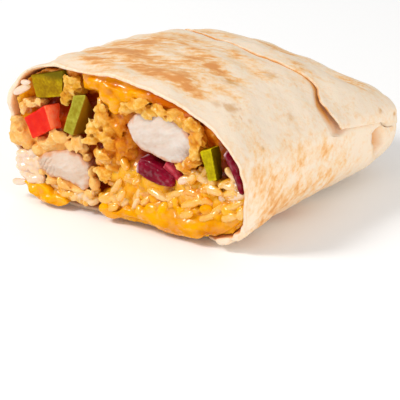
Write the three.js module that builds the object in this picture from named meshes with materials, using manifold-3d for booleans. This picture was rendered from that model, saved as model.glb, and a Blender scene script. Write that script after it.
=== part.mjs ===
// Half of a grilled burrito, cut across, lying on its flat side.
// Millimetres, +Z up. The cut face looks along -Y, the folded end points along +Y,
// and the origin is on the resting surface under the middle of the half.
import * as THREE from 'three';
import { RoundedBoxGeometry } from 'three/addons/geometries/RoundedBoxGeometry.js';
import { mergeVertices } from 'three/addons/utils/BufferGeometryUtils.js';
import Module from 'manifold-3d';

const wasm = await Module();
wasm.setup();

// Driving dimensions of the wrap
const LENGTH = 79.3; // from the cut to the folded end
const CUT_Y = -38.65; // plane of the cut; the filling bulges 2 mm past it
const CROWN_X = -8.8; // the highest line of the wrap lies left of the middle
const LEFT_HALF = 34; // from the crown line to the left side
const RIGHT_HALF = 50; // from the crown line to the right side
const HEIGHT = 45.8;
const WAIST = 19; // height of the widest line
const NOSE = 18.6; // height of the folded end's tip
const LEAN = 0.038; // sideways drift of the wrap for each millimetre of depth
const ROUND = { rightTop: 2.1, leftTop: 3.4, leftBase: 3.6, rightBase: 3.8 };
const WRAP = 2; // thickness of the tortilla
const FLAT_SINK = 0.25; // how far the underside is pressed flat
const GAP = 0.3; // clearance between neighbouring pieces

// The end flap: folded over the top, its edge is a step that faces the cut
const FLAP_STEP = 1.5;
const FLAP_SINK = 0.7; // how far the layer under the flap is pressed in
const FLAP_EDGE = [ // angle round the wrap in degrees, depth from the cut
  [10, 45.2], [28, 44.6], [45, 50.2], [65, 49], [80, 50.6], [97, 55.6], [130, 57], [172, 48],
];
const FLAP_LOW_ANGLE = 10; // where the flap's corner sits on the right side
const FLAP_SLOPE = 0.5; // degrees that its lower edge drops for each millimetre
const GROOVE_WIDE = 5.5; // gap before the flap's edge, at the corner
const GROOVE_DEEP = 1.1;
const GROOVE_TOP_ANGLE = 58;
const TUCK = { x: 45, depth: 63.5, z: 14.5, width: 6.5, height: 8.5, deep: 7, tilt: 14 };

// Counts that set how finely the solids are faceted
const WRAP_SIDES = 48;
const SLIVER = 0.05; // detail finer than this is dropped after a cut

const clamp = THREE.MathUtils.clamp;
const rad = THREE.MathUtils.degToRad;
const smooth = THREE.MathUtils.smoothstep;

// ---------------------------------------------------------------- solids

function loft(rings) {
  // A closed skin through rings of points, with a fan at each end.
  const count = rings[0].length;
  const points = rings.flat();
  const indices = [];
  for (let r = 0; r + 1 < rings.length; r += 1) {
    for (let i = 0; i < count; i += 1) {
      const here = r * count + i;
      const next = r * count + ((i + 1) % count);
      indices.push(here, next, here + count);
      indices.push(next, next + count, here + count);
    }
  }
  for (const [ring, order] of [[0, 1], [rings.length - 1, -1]]) {
    const middle = new THREE.Vector3();
    rings[ring].forEach((point) => middle.addScaledVector(point, 1 / count));
    points.push(middle);
    for (let i = 0; i < count; i += 1) {
      const here = ring * count + i;
      const next = ring * count + ((i + 1) % count);
      const fan = order > 0 ? [points.length - 1, next, here] : [points.length - 1, here, next];
      indices.push(...fan);
    }
  }
  const geometry = new THREE.BufferGeometry().setFromPoints(points);
  geometry.setIndex(indices);
  return geometry;
}

function toSolid(geometry) {
  // A manifold solid with its faces pointing out, from a closed geometry.
  const bare = geometry.clone();
  bare.deleteAttribute('normal');
  bare.deleteAttribute('uv');
  const merged = mergeVertices(bare, 1e-4);
  const position = merged.getAttribute('position');
  const triVerts = Uint32Array.from(merged.index.array);
  const corners = [0, 1, 2].map(() => new THREE.Vector3());
  let volume = 0;
  for (let t = 0; t < triVerts.length; t += 3) {
    corners.forEach((corner, k) => corner.fromBufferAttribute(position, triVerts[t + k]));
    volume += corners[0].dot(corners[1].clone().cross(corners[2]));
  }
  if (volume < 0) {
    triVerts.reverse();
  }
  const vertProperties = Float32Array.from(position.array);
  return new wasm.Manifold(new wasm.Mesh({ numProp: 3, vertProperties, triVerts }));
}

function toGeometry(solid) {
  const mesh = solid.getMesh();
  const geometry = new THREE.BufferGeometry();
  geometry.setAttribute('position', new THREE.BufferAttribute(mesh.vertProperties, 3));
  geometry.setIndex(new THREE.BufferAttribute(mesh.triVerts, 1));
  geometry.computeVertexNormals();
  return geometry;
}

function largestBody(solid) {
  // Cutting can leave slivers and loose scraps: only the largest body is kept.
  const bodies = solid.asOriginal().simplify(SLIVER).decompose();
  return bodies.reduce((best, body) => (body.volume() > best.volume() ? body : best));
}

function cutClear(solid, neighbours) {
  return neighbours.reduce((rest, neighbour) => rest.subtract(neighbour), solid);
}

// ---------------------------------------------------------------- form of the wrap

function flapEdge(degrees) {
  // Depth of the flap's edge at an angle round the wrap.
  const angle = clamp(degrees, FLAP_EDGE[0][0], FLAP_EDGE.at(-1)[0]);
  const last = FLAP_EDGE.findIndex(([edge]) => edge >= angle);
  const [endAngle, endDepth] = FLAP_EDGE[Math.max(last, 1)];
  const [startAngle, startDepth] = FLAP_EDGE[Math.max(last, 1) - 1];
  const share = smooth(angle, startAngle, endAngle);
  return startDepth + (endDepth - startDepth) * share;
}

function wrapPoint(degrees, depth, grow = 0, shrink = 1) {
  // A point of the wrap's section: four quarter superellipses round the crown line.
  const inside = clamp(depth, 0, LENGTH);
  const belly = Math.sin((Math.PI / 2) * Math.min(inside / 60, 1));
  const end = Math.pow(clamp((inside - 65) / (LENGTH - 65), 0, 1), 6.7);
  const close = Math.pow(1 - end, 1 / 3.5);
  const fall = Math.pow(clamp((inside - 10) / (LENGTH - 10), 0, 1), 1.2);
  const top = NOSE + (HEIGHT - NOSE) * Math.pow(1 - fall, 0.3);
  const rise = Math.pow(clamp((inside - LENGTH + 22) / 22, 0, 1), 2.4);
  const base = NOSE * (1 - Math.sqrt(1 - rise)) - FLAT_SINK;
  const angle = rad(degrees);
  const right = Math.cos(angle) >= 0;
  const upper = Math.sin(angle) >= 0;
  const quarter = (right ? 'right' : 'left') + (upper ? 'Top' : 'Base');
  const power = 2 / ROUND[quarter];
  const halfWidth = ((right ? RIGHT_HALF : LEFT_HALF) - belly) * close + grow;
  const halfHeight = (upper ? top - WAIST : WAIST - base) + grow;
  const across = Math.max(halfWidth, 0.01) * Math.pow(Math.abs(Math.cos(angle)), power);
  const along = Math.max(halfHeight, 0.01) * Math.pow(Math.abs(Math.sin(angle)), power);
  return new THREE.Vector3(
    CROWN_X + LEAN * depth + (right ? across : -across) * shrink,
    CUT_Y + depth,
    Math.max(WAIST + (upper ? along : -along) * shrink, -grow),
  );
}

function flapCover(degrees, depth) {
  // The flap covers the top and both shoulders, down to its sloping lower edges.
  const low = FLAP_LOW_ANGLE - FLAP_SLOPE * (depth - FLAP_EDGE[0][1]);
  const angle = degrees > 90 ? 180 - degrees : degrees;
  return smooth(angle, low - 3, low + 3) * smooth(LENGTH - depth, 0, 12);
}

function pressedIn(degrees, depth) {
  // The front layer sinks a little towards the flap's edge.
  const reach = smooth(depth, flapEdge(degrees) - 20, flapEdge(degrees));
  return -FLAP_SINK * reach * flapCover(degrees, depth);
}

function grooveAt(degrees) {
  // Share of the groove's full width and depth at an angle.
  const opening = 1 - smooth(degrees, FLAP_LOW_ANGLE, GROOVE_TOP_ANGLE);
  return opening * smooth(degrees, FLAP_LOW_ANGLE - 8, FLAP_LOW_ANGLE);
}

function wrapRing(place) {
  // Angles run from -90 (underside) up the right side, over the top and down the left.
  return Array.from({ length: WRAP_SIDES }, (_, step) => place(-90 + (360 * step) / WRAP_SIDES));
}

function insideRings(grow) {
  // The inner face of the wrap, from the cut to where the folded layers fill its end.
  return [0, 14, 28, 40, 50, 57, 62].map((depth) => {
    const shrink = 1 - 0.25 * smooth(depth, 48, 64);
    return wrapRing((angle) => wrapPoint(angle, depth, grow, shrink));
  });
}

function wrapShell() {
  const rings = insideRings(-WRAP).reverse();
  for (const share of [0, 0.18, 0.38, 0.58, 0.78]) {
    rings.push(wrapRing((angle) => {
      const depth = share * flapEdge(angle);
      return wrapPoint(angle, depth, pressedIn(angle, depth));
    }));
  }
  rings.push(wrapRing((angle) => {
    const depth = flapEdge(angle) - GROOVE_WIDE * grooveAt(angle) - 0.8;
    return wrapPoint(angle, depth, pressedIn(angle, depth));
  }));
  for (const share of [1, 0]) {
    rings.push(wrapRing((angle) => {
      const depth = flapEdge(angle) - GROOVE_WIDE * grooveAt(angle) * share - 0.2 * share;
      return wrapPoint(angle, depth, pressedIn(angle, depth) - GROOVE_DEEP * grooveAt(angle));
    }));
  }
  for (const share of [0.012, 0.15, 0.3, 0.45, 0.6, 0.72, 0.82, 0.9, 0.96, 0.99]) {
    rings.push(wrapRing((angle) => {
      const edge = flapEdge(angle);
      const depth = edge + share * (LENGTH - edge);
      return wrapPoint(angle, depth, (FLAP_STEP - FLAP_SINK) * flapCover(angle, depth));
    }));
  }
  return loft(rings);
}

function tuckPocket() {
  // The small pocket where the end fold is tucked in behind the right side.
  const pocket = new RoundedBoxGeometry(TUCK.deep, TUCK.width, TUCK.height, 1, 1.2);
  pocket.rotateX(rad(TUCK.tilt));
  pocket.translate(TUCK.x, CUT_Y + TUCK.depth, TUCK.z);
  return pocket;
}

function room(front) {
  // The space for the filling inside the wrap, begun straight from a depth before or behind the cut.
  const grow = -WRAP - GAP;
  const rings = insideRings(grow);
  rings.pop();
  rings[0] = wrapRing((angle) => wrapPoint(angle, front, grow));
  return toSolid(loft(rings));
}

// ---------------------------------------------------------------- filling pieces

function craggy(angle, depth, seed) {
  // Uneven relief between -1 and 1 for fried batter.
  const broad = Math.sin(3 * angle + 0.31 * depth + seed);
  const middle = Math.sin(7 * angle - 0.47 * depth + 2.1 * seed);
  const fine = Math.sin(11 * angle + 0.9 * depth + 3.7 * seed);
  return 0.4 * broad + 0.35 * middle + 0.25 * fine;
}

// A piece made with grow is a plain, slightly larger copy that clears room for it in others.

function strip({ x, z, halfWidth, halfHeight, tilt, from, to, crag, seed }, grow = 0) {
  // A fried strip that runs from the cut into the wrap, oval in section and rounded at its ends.
  const sides = grow ? 16 : 24;
  const stations = 8;
  const rings = [];
  for (let s = 0; s <= stations; s += 1) {
    const share = s / stations;
    const depth = from - grow + (to - from + 2 * grow) * share;
    const round = Math.pow(1 - Math.pow(Math.abs(2 * share - 1), 9), 0.5);
    const size = 0.62 + 0.38 * round;
    const ring = [];
    for (let i = 0; i < sides; i += 1) {
      const angle = (2 * Math.PI * i) / sides;
      const relief = grow ? crag + 2 * grow : crag * craggy(angle, depth, seed);
      const u = (halfWidth + relief) * size * Math.cos(angle);
      const v = (halfHeight + relief) * size * Math.sin(angle);
      const turned = new THREE.Vector2(u, v).rotateAround(new THREE.Vector2(), rad(tilt));
      ring.push(new THREE.Vector3(x + turned.x, CUT_Y + depth, z + turned.y));
    }
    rings.push(ring);
  }
  return toSolid(loft(rings));
}

function lump({ x, z, depth, radius, seed }, grow = 0) {
  // A knob of craggy batter.
  const geometry = new THREE.IcosahedronGeometry(1, grow ? 1 : 2);
  const position = geometry.getAttribute('position');
  const point = new THREE.Vector3();
  for (let i = 0; i < position.count; i += 1) {
    point.fromBufferAttribute(position, i);
    const around = Math.atan2(point.z, point.x);
    const relief = grow ? 1.14 : 1 + 0.14 * craggy(around, 4 * point.y, seed);
    point.multiplyScalar(relief);
    point.set(point.x * (radius[0] + grow), point.y * (radius[1] + grow), point.z * (radius[2] + grow));
    position.setXYZ(i, x + point.x, CUT_Y + depth + point.y, z + point.z);
  }
  return toSolid(geometry);
}

function layer({ outline, from, to }, grow = 0) {
  // A layer that runs into the wrap, with a rounded front.
  const curve = new THREE.CatmullRomCurve3(
    outline.map(([x, z]) => new THREE.Vector3(x, 0, z)), true, 'catmullrom', 0.5,
  );
  const sides = 3 * outline.length;
  const outward = Math.sign(THREE.ShapeUtils.area(outline.map(([x, z]) => new THREE.Vector2(x, z))));
  const stations = [
    [from - grow, 1.1], [from + 0.9, 0.2], [from + 3, 0], [(from + to) / 2, 0.3], [to + grow, 0.8],
  ];
  const rings = stations.map(([depth, inset]) => Array.from({ length: sides }, (_, i) => {
    const point = curve.getPoint(i / sides);
    const tangent = curve.getTangent(i / sides);
    const shift = (1.5 * grow - inset) * outward;
    return new THREE.Vector3(point.x + tangent.z * shift, CUT_Y + depth, point.z - tangent.x * shift);
  }));
  return toSolid(loft(rings));
}

function placeCube(mesh, { x, z, front, size, turn }) {
  mesh.position.set(x, CUT_Y + front + size[1] / 2, z);
  mesh.rotation.set(rad(turn[0]), rad(turn[1]), rad(turn[2]));
  mesh.updateMatrixWorld(true);
}

function cube(cut, grow = 0) {
  // A diced piece with softly rounded edges.
  const [width, deep, height] = cut.size.map((side) => side + 2 * grow);
  return new RoundedBoxGeometry(width, deep, height, 1, cut.round + grow);
}

function petal({ from, to, bow, width, thick, deep, front }, grow = 0) {
  // A bowed sliver of onion between two points of the cut face.
  const start = new THREE.Vector2(...from);
  const end = new THREE.Vector2(...to);
  const along = end.clone().sub(start);
  const normal = new THREE.Vector2(-along.y, along.x).normalize();
  const rings = [];
  const stations = 7;
  for (let s = 0; s <= stations; s += 1) {
    const share = s / stations;
    const reach = share + (share - 0.5) * 2 * (grow / along.length());
    const middle = start.clone().addScaledVector(along, reach)
      .addScaledVector(normal, bow * Math.sin(Math.PI * share));
    const swell = 0.35 + 0.65 * Math.sqrt(Math.sin(Math.PI * clamp(share, 0.04, 0.96)));
    const ring = [];
    for (let i = 0; i < 10; i += 1) {
      const angle = (2 * Math.PI * i) / 10;
      const inward = (deep / 2) * Math.cos(angle) * swell + Math.sign(Math.cos(angle)) * grow;
      const side = (thick / 2) * Math.sin(angle) * swell + Math.sign(Math.sin(angle)) * grow;
      ring.push(new THREE.Vector3(
        middle.x + normal.x * side,
        CUT_Y + front + deep / 2 + inward + width * share,
        middle.y + normal.y * side,
      ));
    }
    rings.push(ring);
  }
  return toSolid(loft(rings));
}

// Places on the cut face are x and z; depths count inward from the cut.
const CHICKEN_CENTRE = {
  x: 12.4, z: 30.4, halfWidth: 14.2, halfHeight: 8, tilt: -19, from: 0.6, to: 58, crag: 1.1, seed: 1,
};
const CENTRE_BATTER = [
  { x: -2.2, z: 33.2, depth: 5.4, radius: [4.6, 4.6, 3.6], seed: 2 },
  { x: -8.2, z: 31.6, depth: 4.6, radius: [5, 4.6, 4.8], seed: 3 },
  { x: -8.6, z: 24.2, depth: 4.2, radius: [5.2, 4.8, 5.4], seed: 4 },
  { x: -8, z: 16.6, depth: 4, radius: [5.2, 4.6, 4.8], seed: 5 },
];
const CHICKEN_LEFT = {
  x: -23.2, z: 14.8, halfWidth: 11.6, halfHeight: 8.2, tilt: -12, from: 0.4, to: 54, crag: 1, seed: 6,
};
const LEFT_BATTER = [
  { x: -36, z: 21.4, depth: 4.4, radius: [4.4, 4.2, 5.4], seed: 7 },
  { x: -31.4, z: 18.6, depth: 5, radius: [4, 4.4, 3.4], seed: 8 },
];
const CRUMBS = {
  fried_crumb_top: [{ x: -19.6, z: 38.6, depth: 4, radius: [3.8, 3.8, 4.6], seed: 9 }],
  fried_crumb_left: [{ x: -35.4, z: 30.6, depth: 4.6, radius: [3.2, 3.6, 2.6], seed: 10 }],
};
const CUBES = {
  avocado_1: { x: -27.8, z: 37.4, front: 0.6, size: [10.6, 10, 6], round: 1, turn: [0, -12, 4] },
  avocado_2: { x: -18.6, z: 31, front: -0.6, size: [6.4, 8, 13.4], round: 1, turn: [0, 22, 8] },
  avocado_3: { x: 28.8, z: 26.4, front: 0, size: [6, 8, 11.4], round: 1, turn: [0, -6, 10] },
  tomato_1: { x: -30.4, z: 27, front: -1, size: [8.6, 10, 8.8], round: 1.1, turn: [0, -28, -6] },
};
const PETALS = {
  red_onion_1: { from: [0.8, 20.2], to: [15.6, 16.8], bow: 0.8, width: 0, thick: 5, deep: 6, front: 0.4 },
  red_onion_2: { from: [11.4, 22.6], to: [18.4, 19.2], bow: 0.5, width: 2, thick: 2.4, deep: 5, front: 1.6 },
  red_onion_3: { from: [33.4, 30.4], to: [38.2, 18], bow: 1.2, width: 0, thick: 2.4, deep: 7, front: 0.2 },
};
const CHEESE = {
  melted_cheese_top: {
    outline: [[-14.6, 47], [-13.6, 38.4], [-9, 36.6], [-4, 39.4], [4, 39.6], [12, 40.4], [19, 38.6], [22, 44]],
    from: 1.2,
    to: 56,
  },
  melted_cheese_bottom: {
    outline: [[-12, -4], [-11.4, 3.4], [-3, 7], [6, 6.4], [16, 5.8], [27, 7.4], [36, 12], [44, 16], [46, -4]],
    from: -1.8,
    to: 60,
  },
  melted_cheese_left: {
    outline: [[-44, -4], [-44, 8], [-37, 7.4], [-31.4, 4.8], [-28, -4]],
    from: -0.6,
    to: 46,
  },
};

// Rice: grains show where the core has no other piece in front of it
const GRAIN = { length: 6.8, width: 2.8 };
const RICE_FACE = 4.6; // depth of the rice core behind the cut
const RICE_FIELDS = [
  { x: [-13, 38], z: [8, 20], columns: 12, rows: 4 },
  { x: [-31, -14], z: [4, 7.5], columns: 5, rows: 2 },
  { x: [-40.5, -35], z: [9, 16], columns: 2, rows: 3 },
  { x: [-38, -34], z: [34, 38], columns: 2, rows: 2 },
];

function seeded(seed) {
  // Repeatable draws between 0 and 1.
  let state = seed;
  return () => {
    state = (state * 16807) % 2147483647;
    return state / 2147483647;
  };
}

function grain(x, z, depth, lean, turn) {
  const geometry = new THREE.SphereGeometry(1, 5, 4);
  geometry.scale(GRAIN.width / 2, GRAIN.length / 2, GRAIN.width / 2);
  geometry.rotateX(lean);
  geometry.rotateY(turn);
  geometry.translate(x, CUT_Y + depth, z);
  return toSolid(geometry);
}

function riceGrains() {
  const draw = seeded(50);
  const grains = [];
  for (const field of RICE_FIELDS) {
    for (let row = 0; row < field.rows; row += 1) {
      for (let column = 0; column < field.columns; column += 1) {
        const across = (column + 0.2 + 0.6 * draw()) / field.columns;
        const up = (row + 0.2 + 0.6 * draw()) / field.rows;
        const x = field.x[0] + (field.x[1] - field.x[0]) * across;
        const z = field.z[0] + (field.z[1] - field.z[0]) * up;
        const depth = 3 + 1.4 * draw();
        const lean = rad(60 + 50 * draw());
        grains.push(grain(x, z, depth, lean, Math.PI * draw()));
      }
    }
  }
  return grains;
}

function riceFilling(neighbours) {
  // The rice core fills what the other pieces leave, with the grains that show fused on.
  const core = cutClear(room(RICE_FACE), neighbours);
  const clear = riceGrains().filter((piece) => (
    neighbours.every((neighbour) => piece.intersect(neighbour).volume() < 4)
  ));
  const whole = clear.reduce((rest, piece) => rest.add(piece), core);
  return largestBody(cutClear(whole.intersect(FILLING_ROOM), neighbours));
}

// ---------------------------------------------------------------- assembly

const COLOURS = {
  tortilla: { color: 0xf3dcb6, roughness: 0.78 },
  rice: { color: 0xecc98f, roughness: 0.45 },
  cheese: { color: 0xf5a81c, roughness: 0.25 },
  chicken: { color: 0xe2a04f, roughness: 0.6 },
  avocado: { color: 0xb3a02a, roughness: 0.45 },
  tomato: { color: 0xdc3a1e, roughness: 0.25 },
  onion: { color: 0x7d1737, roughness: 0.3 },
};

const burrito = new THREE.Group();

function addMesh(name, geometry, finish) {
  const material = new THREE.MeshStandardMaterial({ ...COLOURS[finish], metalness: 0 });
  const mesh = new THREE.Mesh(geometry, material);
  mesh.name = name;
  burrito.add(mesh);
  return mesh;
}

const FILLING_ROOM = room(-2.5);
const wrap = largestBody(toSolid(wrapShell()).subtract(toSolid(tuckPocket())));
addMesh('tortilla_wrap', toGeometry(wrap), 'tortilla');

// Each piece is cut clear of those made before it, by their grown copies.
const taken = [];

for (const [name, cut] of Object.entries(CUBES)) {
  const mesh = addMesh(name, cube(cut), name.startsWith('tomato') ? 'tomato' : 'avocado');
  placeCube(mesh, cut);
  taken.push(toSolid(cube(cut, GAP).applyMatrix4(mesh.matrixWorld)));
}

for (const [name, sliver] of Object.entries(PETALS)) {
  const solid = cutClear(petal(sliver), taken).intersect(FILLING_ROOM);
  addMesh(name, toGeometry(largestBody(solid)), 'onion');
  taken.push(petal(sliver, GAP));
}

const FRIED = {
  chicken_centre: (grow) => (
    CENTRE_BATTER.reduce((all, knob) => all.add(lump(knob, grow)), strip(CHICKEN_CENTRE, grow))
  ),
  chicken_left: (grow) => (
    LEFT_BATTER.reduce((all, knob) => all.add(lump(knob, grow)), strip(CHICKEN_LEFT, grow))
  ),
  fried_crumb_top: (grow) => lump(CRUMBS.fried_crumb_top[0], grow),
  fried_crumb_left: (grow) => lump(CRUMBS.fried_crumb_left[0], grow),
};

for (const [name, make] of Object.entries(FRIED)) {
  const solid = cutClear(make(0), taken).intersect(FILLING_ROOM);
  addMesh(name, toGeometry(largestBody(solid)), 'chicken');
  taken.push(make(GAP));
}

for (const [name, sheet] of Object.entries(CHEESE)) {
  const solid = cutClear(layer(sheet), taken).intersect(FILLING_ROOM);
  addMesh(name, toGeometry(largestBody(solid)), 'cheese');
  taken.push(layer(sheet, GAP));
}

addMesh('rice_filling', toGeometry(riceFilling(taken)), 'rice');

export default burrito;
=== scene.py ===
import math
import random

import bpy
import numpy as np
from mathutils.kdtree import KDTree
from mathutils import Matrix, Vector


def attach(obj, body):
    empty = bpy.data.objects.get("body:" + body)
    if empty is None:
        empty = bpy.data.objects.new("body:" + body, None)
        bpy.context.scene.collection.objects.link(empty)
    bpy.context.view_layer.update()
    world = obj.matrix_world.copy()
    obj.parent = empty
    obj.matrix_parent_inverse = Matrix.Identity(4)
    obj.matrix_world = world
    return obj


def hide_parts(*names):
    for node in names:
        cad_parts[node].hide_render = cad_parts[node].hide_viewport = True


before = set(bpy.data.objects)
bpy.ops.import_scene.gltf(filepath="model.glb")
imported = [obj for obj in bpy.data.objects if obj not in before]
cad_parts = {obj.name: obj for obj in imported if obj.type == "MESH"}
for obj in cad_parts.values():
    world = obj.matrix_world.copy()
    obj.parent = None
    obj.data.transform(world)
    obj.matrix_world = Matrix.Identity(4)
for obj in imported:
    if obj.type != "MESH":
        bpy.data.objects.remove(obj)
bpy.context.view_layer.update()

# ---------------------------------------------------------------- sizes, in millimetres
# Places on the cut face are x and z; depths count inward from the cut.
LENGTH = 79.3
CUT_Y = -38.65
CROWN_X = -8.8
LEFT_HALF = 34.0
RIGHT_HALF = 50.0
HEIGHT = 45.8
WAIST = 19.0
NOSE = 18.6
LEAN = 0.038
WRAP = 2.0
FLAT_SINK = 0.25
FLAP_STEP = 1.4
FLAP_SINK = 1.2
FLAP_EDGE = np.array([
    (10, 45.2), (28, 44.6), (45, 50.2), (65, 49), (80, 50.6), (97, 56.6), (115, 62), (135, 63), (172, 54),
])
FLAP_LOW_ANGLE = 10.0
FLAP_SLOPE = 0.5
GROOVE_WIDE = 3.9
GROOVE_DEEP = 1.4
GROOVE_TOP_ANGLE = 58.0
TO_METRES = 0.001
draw = random.Random(11)


# ---------------------------------------------------------------- bench helpers

def clear_selection():
    if bpy.context.object and bpy.context.object.mode != "OBJECT":
        bpy.ops.object.mode_set(mode="OBJECT")
    bpy.ops.object.select_all(action="DESELECT")


def pick(piece):
    clear_selection()
    piece.select_set(True)
    bpy.context.view_layer.objects.active = piece


def apply_modifier(piece, kind, **settings):
    pick(piece)
    modifier = piece.modifiers.new(kind.title(), kind)
    for name, value in settings.items():
        setattr(modifier, name, value)
    bpy.ops.object.modifier_apply(modifier=modifier.name)


def points_of(piece):
    flat = np.empty(len(piece.data.vertices) * 3, np.float32)
    piece.data.vertices.foreach_get("co", flat)
    return flat.reshape(-1, 3).astype(float)


def move_points(piece, points):
    piece.data.vertices.foreach_set("co", np.asarray(points, np.float32).ravel())
    piece.data.update()


def normals_of(piece):
    flat = np.empty(len(piece.data.vertices) * 3, np.float32)
    piece.data.vertex_normals.foreach_get("vector", flat)
    return flat.reshape(-1, 3).astype(float)


def mark(piece, name, values):
    layer = piece.data.attributes.get(name) or piece.data.attributes.new(name, "FLOAT", "POINT")
    layer.data.foreach_set("value", np.asarray(values, np.float32))


def fuse(piece, voxel, smooth=0):
    """Melts the overlapping lumps of a piece into one skin."""
    apply_modifier(piece, "REMESH", mode="VOXEL", voxel_size=voxel, use_smooth_shade=True)
    if smooth:
        apply_modifier(piece, "SMOOTH", factor=0.5, iterations=smooth)


def roughen(piece, size, height, crisp=False, detail=2):
    """Raises and sinks the skin by relief of a given size: soft clouds, or crisp ridges."""
    clouds = bpy.data.textures.new("relief", "CLOUDS")
    clouds.noise_scale = size
    clouds.noise_depth = detail
    clouds.noise_type = "HARD_NOISE" if crisp else "SOFT_NOISE"
    apply_modifier(
        piece, "DISPLACE", texture=clouds, strength=-height if crisp else height,
        mid_level=0.28 if crisp else 0.5, texture_coords="LOCAL",
    )


def mark_ridges(piece, name="ridge", reach=6, gain=1.0):
    """Marks how far each point stands out of its surroundings: 0 in a pit, 1 on a ridge. The surfaces use it for
    painted shade in pits and painted light on ridges.
    """
    edges = np.empty(len(piece.data.edges) * 2, np.int32)
    piece.data.edges.foreach_get("vertices", edges)
    a, b = edges.reshape(-1, 2).T
    count = np.maximum(np.bincount(a, minlength=len(piece.data.vertices))
                       + np.bincount(b, minlength=len(piece.data.vertices)), 1)
    own = points_of(piece)
    mean = own.copy()
    for _ in range(reach):
        total = np.zeros_like(mean)
        for axis in range(3):
            total[:, axis] = (np.bincount(a, mean[b, axis], len(own))
                              + np.bincount(b, mean[a, axis], len(own)))
        mean = total / count[:, None]
    height = ((own - mean) * normals_of(piece)).sum(1)
    mark(piece, name, np.clip(0.5 + gain * height, 0, 1))


def smooth_step(value, low, high):
    share = np.clip((value - low) / (high - low), 0, 1)
    return share * share * (3 - 2 * share)


def waves(points, size, seed, octaves=2):
    """Cheap smooth unevenness between about -1 and 1 at any points."""
    turns = np.random.RandomState(seed)
    total = np.zeros(len(points))
    for octave in range(octaves):
        for _ in range(7):
            way = turns.normal(size=3)
            way *= (2 * math.pi / size) * (1.9 ** octave) / np.linalg.norm(way)
            total += np.sin(points @ way + turns.uniform(0, 6.3)) * 0.6 ** octave
    return total / 3.4


def rolled_grid(name, columns, rows, place, closed=True, marks=None):
    """A flat sheet of columns x rows, rolled into shape by place(column, row)."""
    clear_selection()
    bpy.ops.mesh.primitive_grid_add(x_subdivisions=columns, y_subdivisions=rows, size=2)
    piece = bpy.context.object
    piece.name = name
    flat = points_of(piece)
    column = np.rint((flat[:, 0] + 1) / 2 * columns).astype(int)
    row = np.rint((flat[:, 1] + 1) / 2 * rows).astype(int)
    move_points(piece, place(column, row))
    for label, values in (marks or {}).items():
        mark(piece, label, values(column, row))
    bpy.ops.object.mode_set(mode="EDIT")
    bpy.ops.mesh.select_all(action="SELECT")
    bpy.ops.mesh.remove_doubles(threshold=0.004)
    if closed:
        bpy.ops.mesh.select_all(action="DESELECT")
        bpy.ops.mesh.select_mode(type="VERT")
        bpy.ops.mesh.select_non_manifold(extend=False, use_wire=False, use_multi_face=False,
                                         use_non_contiguous=False, use_verts=False)
        bpy.ops.mesh.fill_holes(sides=0)
    bpy.ops.mesh.select_all(action="SELECT")
    bpy.ops.mesh.normals_make_consistent(inside=False)
    bpy.ops.object.mode_set(mode="OBJECT")
    bpy.ops.object.shade_smooth()
    return piece


def slab(name, outline, front, back, taper=1.0):
    """A layer with a given outline on the cut face, running inward from front to back."""
    clear_selection()
    bpy.ops.mesh.primitive_circle_add(vertices=len(outline), radius=1, fill_type="NGON")
    piece = bpy.context.object
    piece.name = name
    face = np.array([(x, CUT_Y + front, z) for x, z in outline])
    move_points(piece, face)
    middle = face.mean(0)
    bpy.ops.object.mode_set(mode="EDIT")
    bpy.ops.mesh.select_all(action="SELECT")
    bpy.ops.mesh.extrude_region_move(TRANSFORM_OT_translate={"value": (0, back - front, 0)})
    bpy.ops.transform.resize(value=(taper, 1, taper), center_override=tuple(middle))
    bpy.ops.mesh.select_all(action="SELECT")
    bpy.ops.mesh.normals_make_consistent(inside=False)
    bpy.ops.object.mode_set(mode="OBJECT")
    return piece


def add_lumps(piece, lumps):
    """Presses round lumps (x, z, depth, wide, deep, high, turn) onto a piece, or starts one with them."""
    clear_selection()
    if isinstance(piece, str):
        name = piece
        piece = None
    else:
        pick(piece)
        bpy.ops.object.mode_set(mode="EDIT")
    for x, z, depth, wide, deep, high, turn in lumps:
        turns = turn if isinstance(turn, tuple) else (0, turn, 0)
        bpy.ops.mesh.primitive_ico_sphere_add(
            subdivisions=2, radius=1, location=(x, CUT_Y + depth, z), rotation=turns, scale=(wide, deep, high),
        )
        if piece is None:
            piece = bpy.context.object
            piece.name = name
            bpy.ops.object.transform_apply(location=True, rotation=True, scale=True)
            bpy.ops.object.mode_set(mode="EDIT")
    bpy.ops.object.mode_set(mode="OBJECT")
    return piece


def inside_outline(x, z, outline):
    hit = False
    for (ax, az), (bx, bz) in zip(outline, outline[1:] + outline[:1]):
        if (az > z) != (bz > z) and x < (bx - ax) * (z - az) / (bz - az) + ax:
            hit = not hit
    return hit


def finish_piece(piece, surface, replaced):
    """Brings a piece to metres, gives it its surface and ties it to the nodes it stands for."""
    pick(piece)
    bpy.ops.object.transform_apply(location=True, rotation=True, scale=True)
    move_points(piece, points_of(piece) * TO_METRES)
    piece.data.materials.clear()
    piece.data.materials.append(surface)
    bpy.ops.object.shade_smooth()
    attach(piece, "root")
    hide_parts(*replaced)
    return piece


# ---------------------------------------------------------------- surfaces

def tone(red, green, blue):
    """A colour from its 0 to 255 values, as the shader counts it."""
    def straight(value):
        value /= 255
        return value / 12.92 if value <= 0.04045 else ((value + 0.055) / 1.055) ** 2.4
    return (straight(red), straight(green), straight(blue), 1.0)


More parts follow.
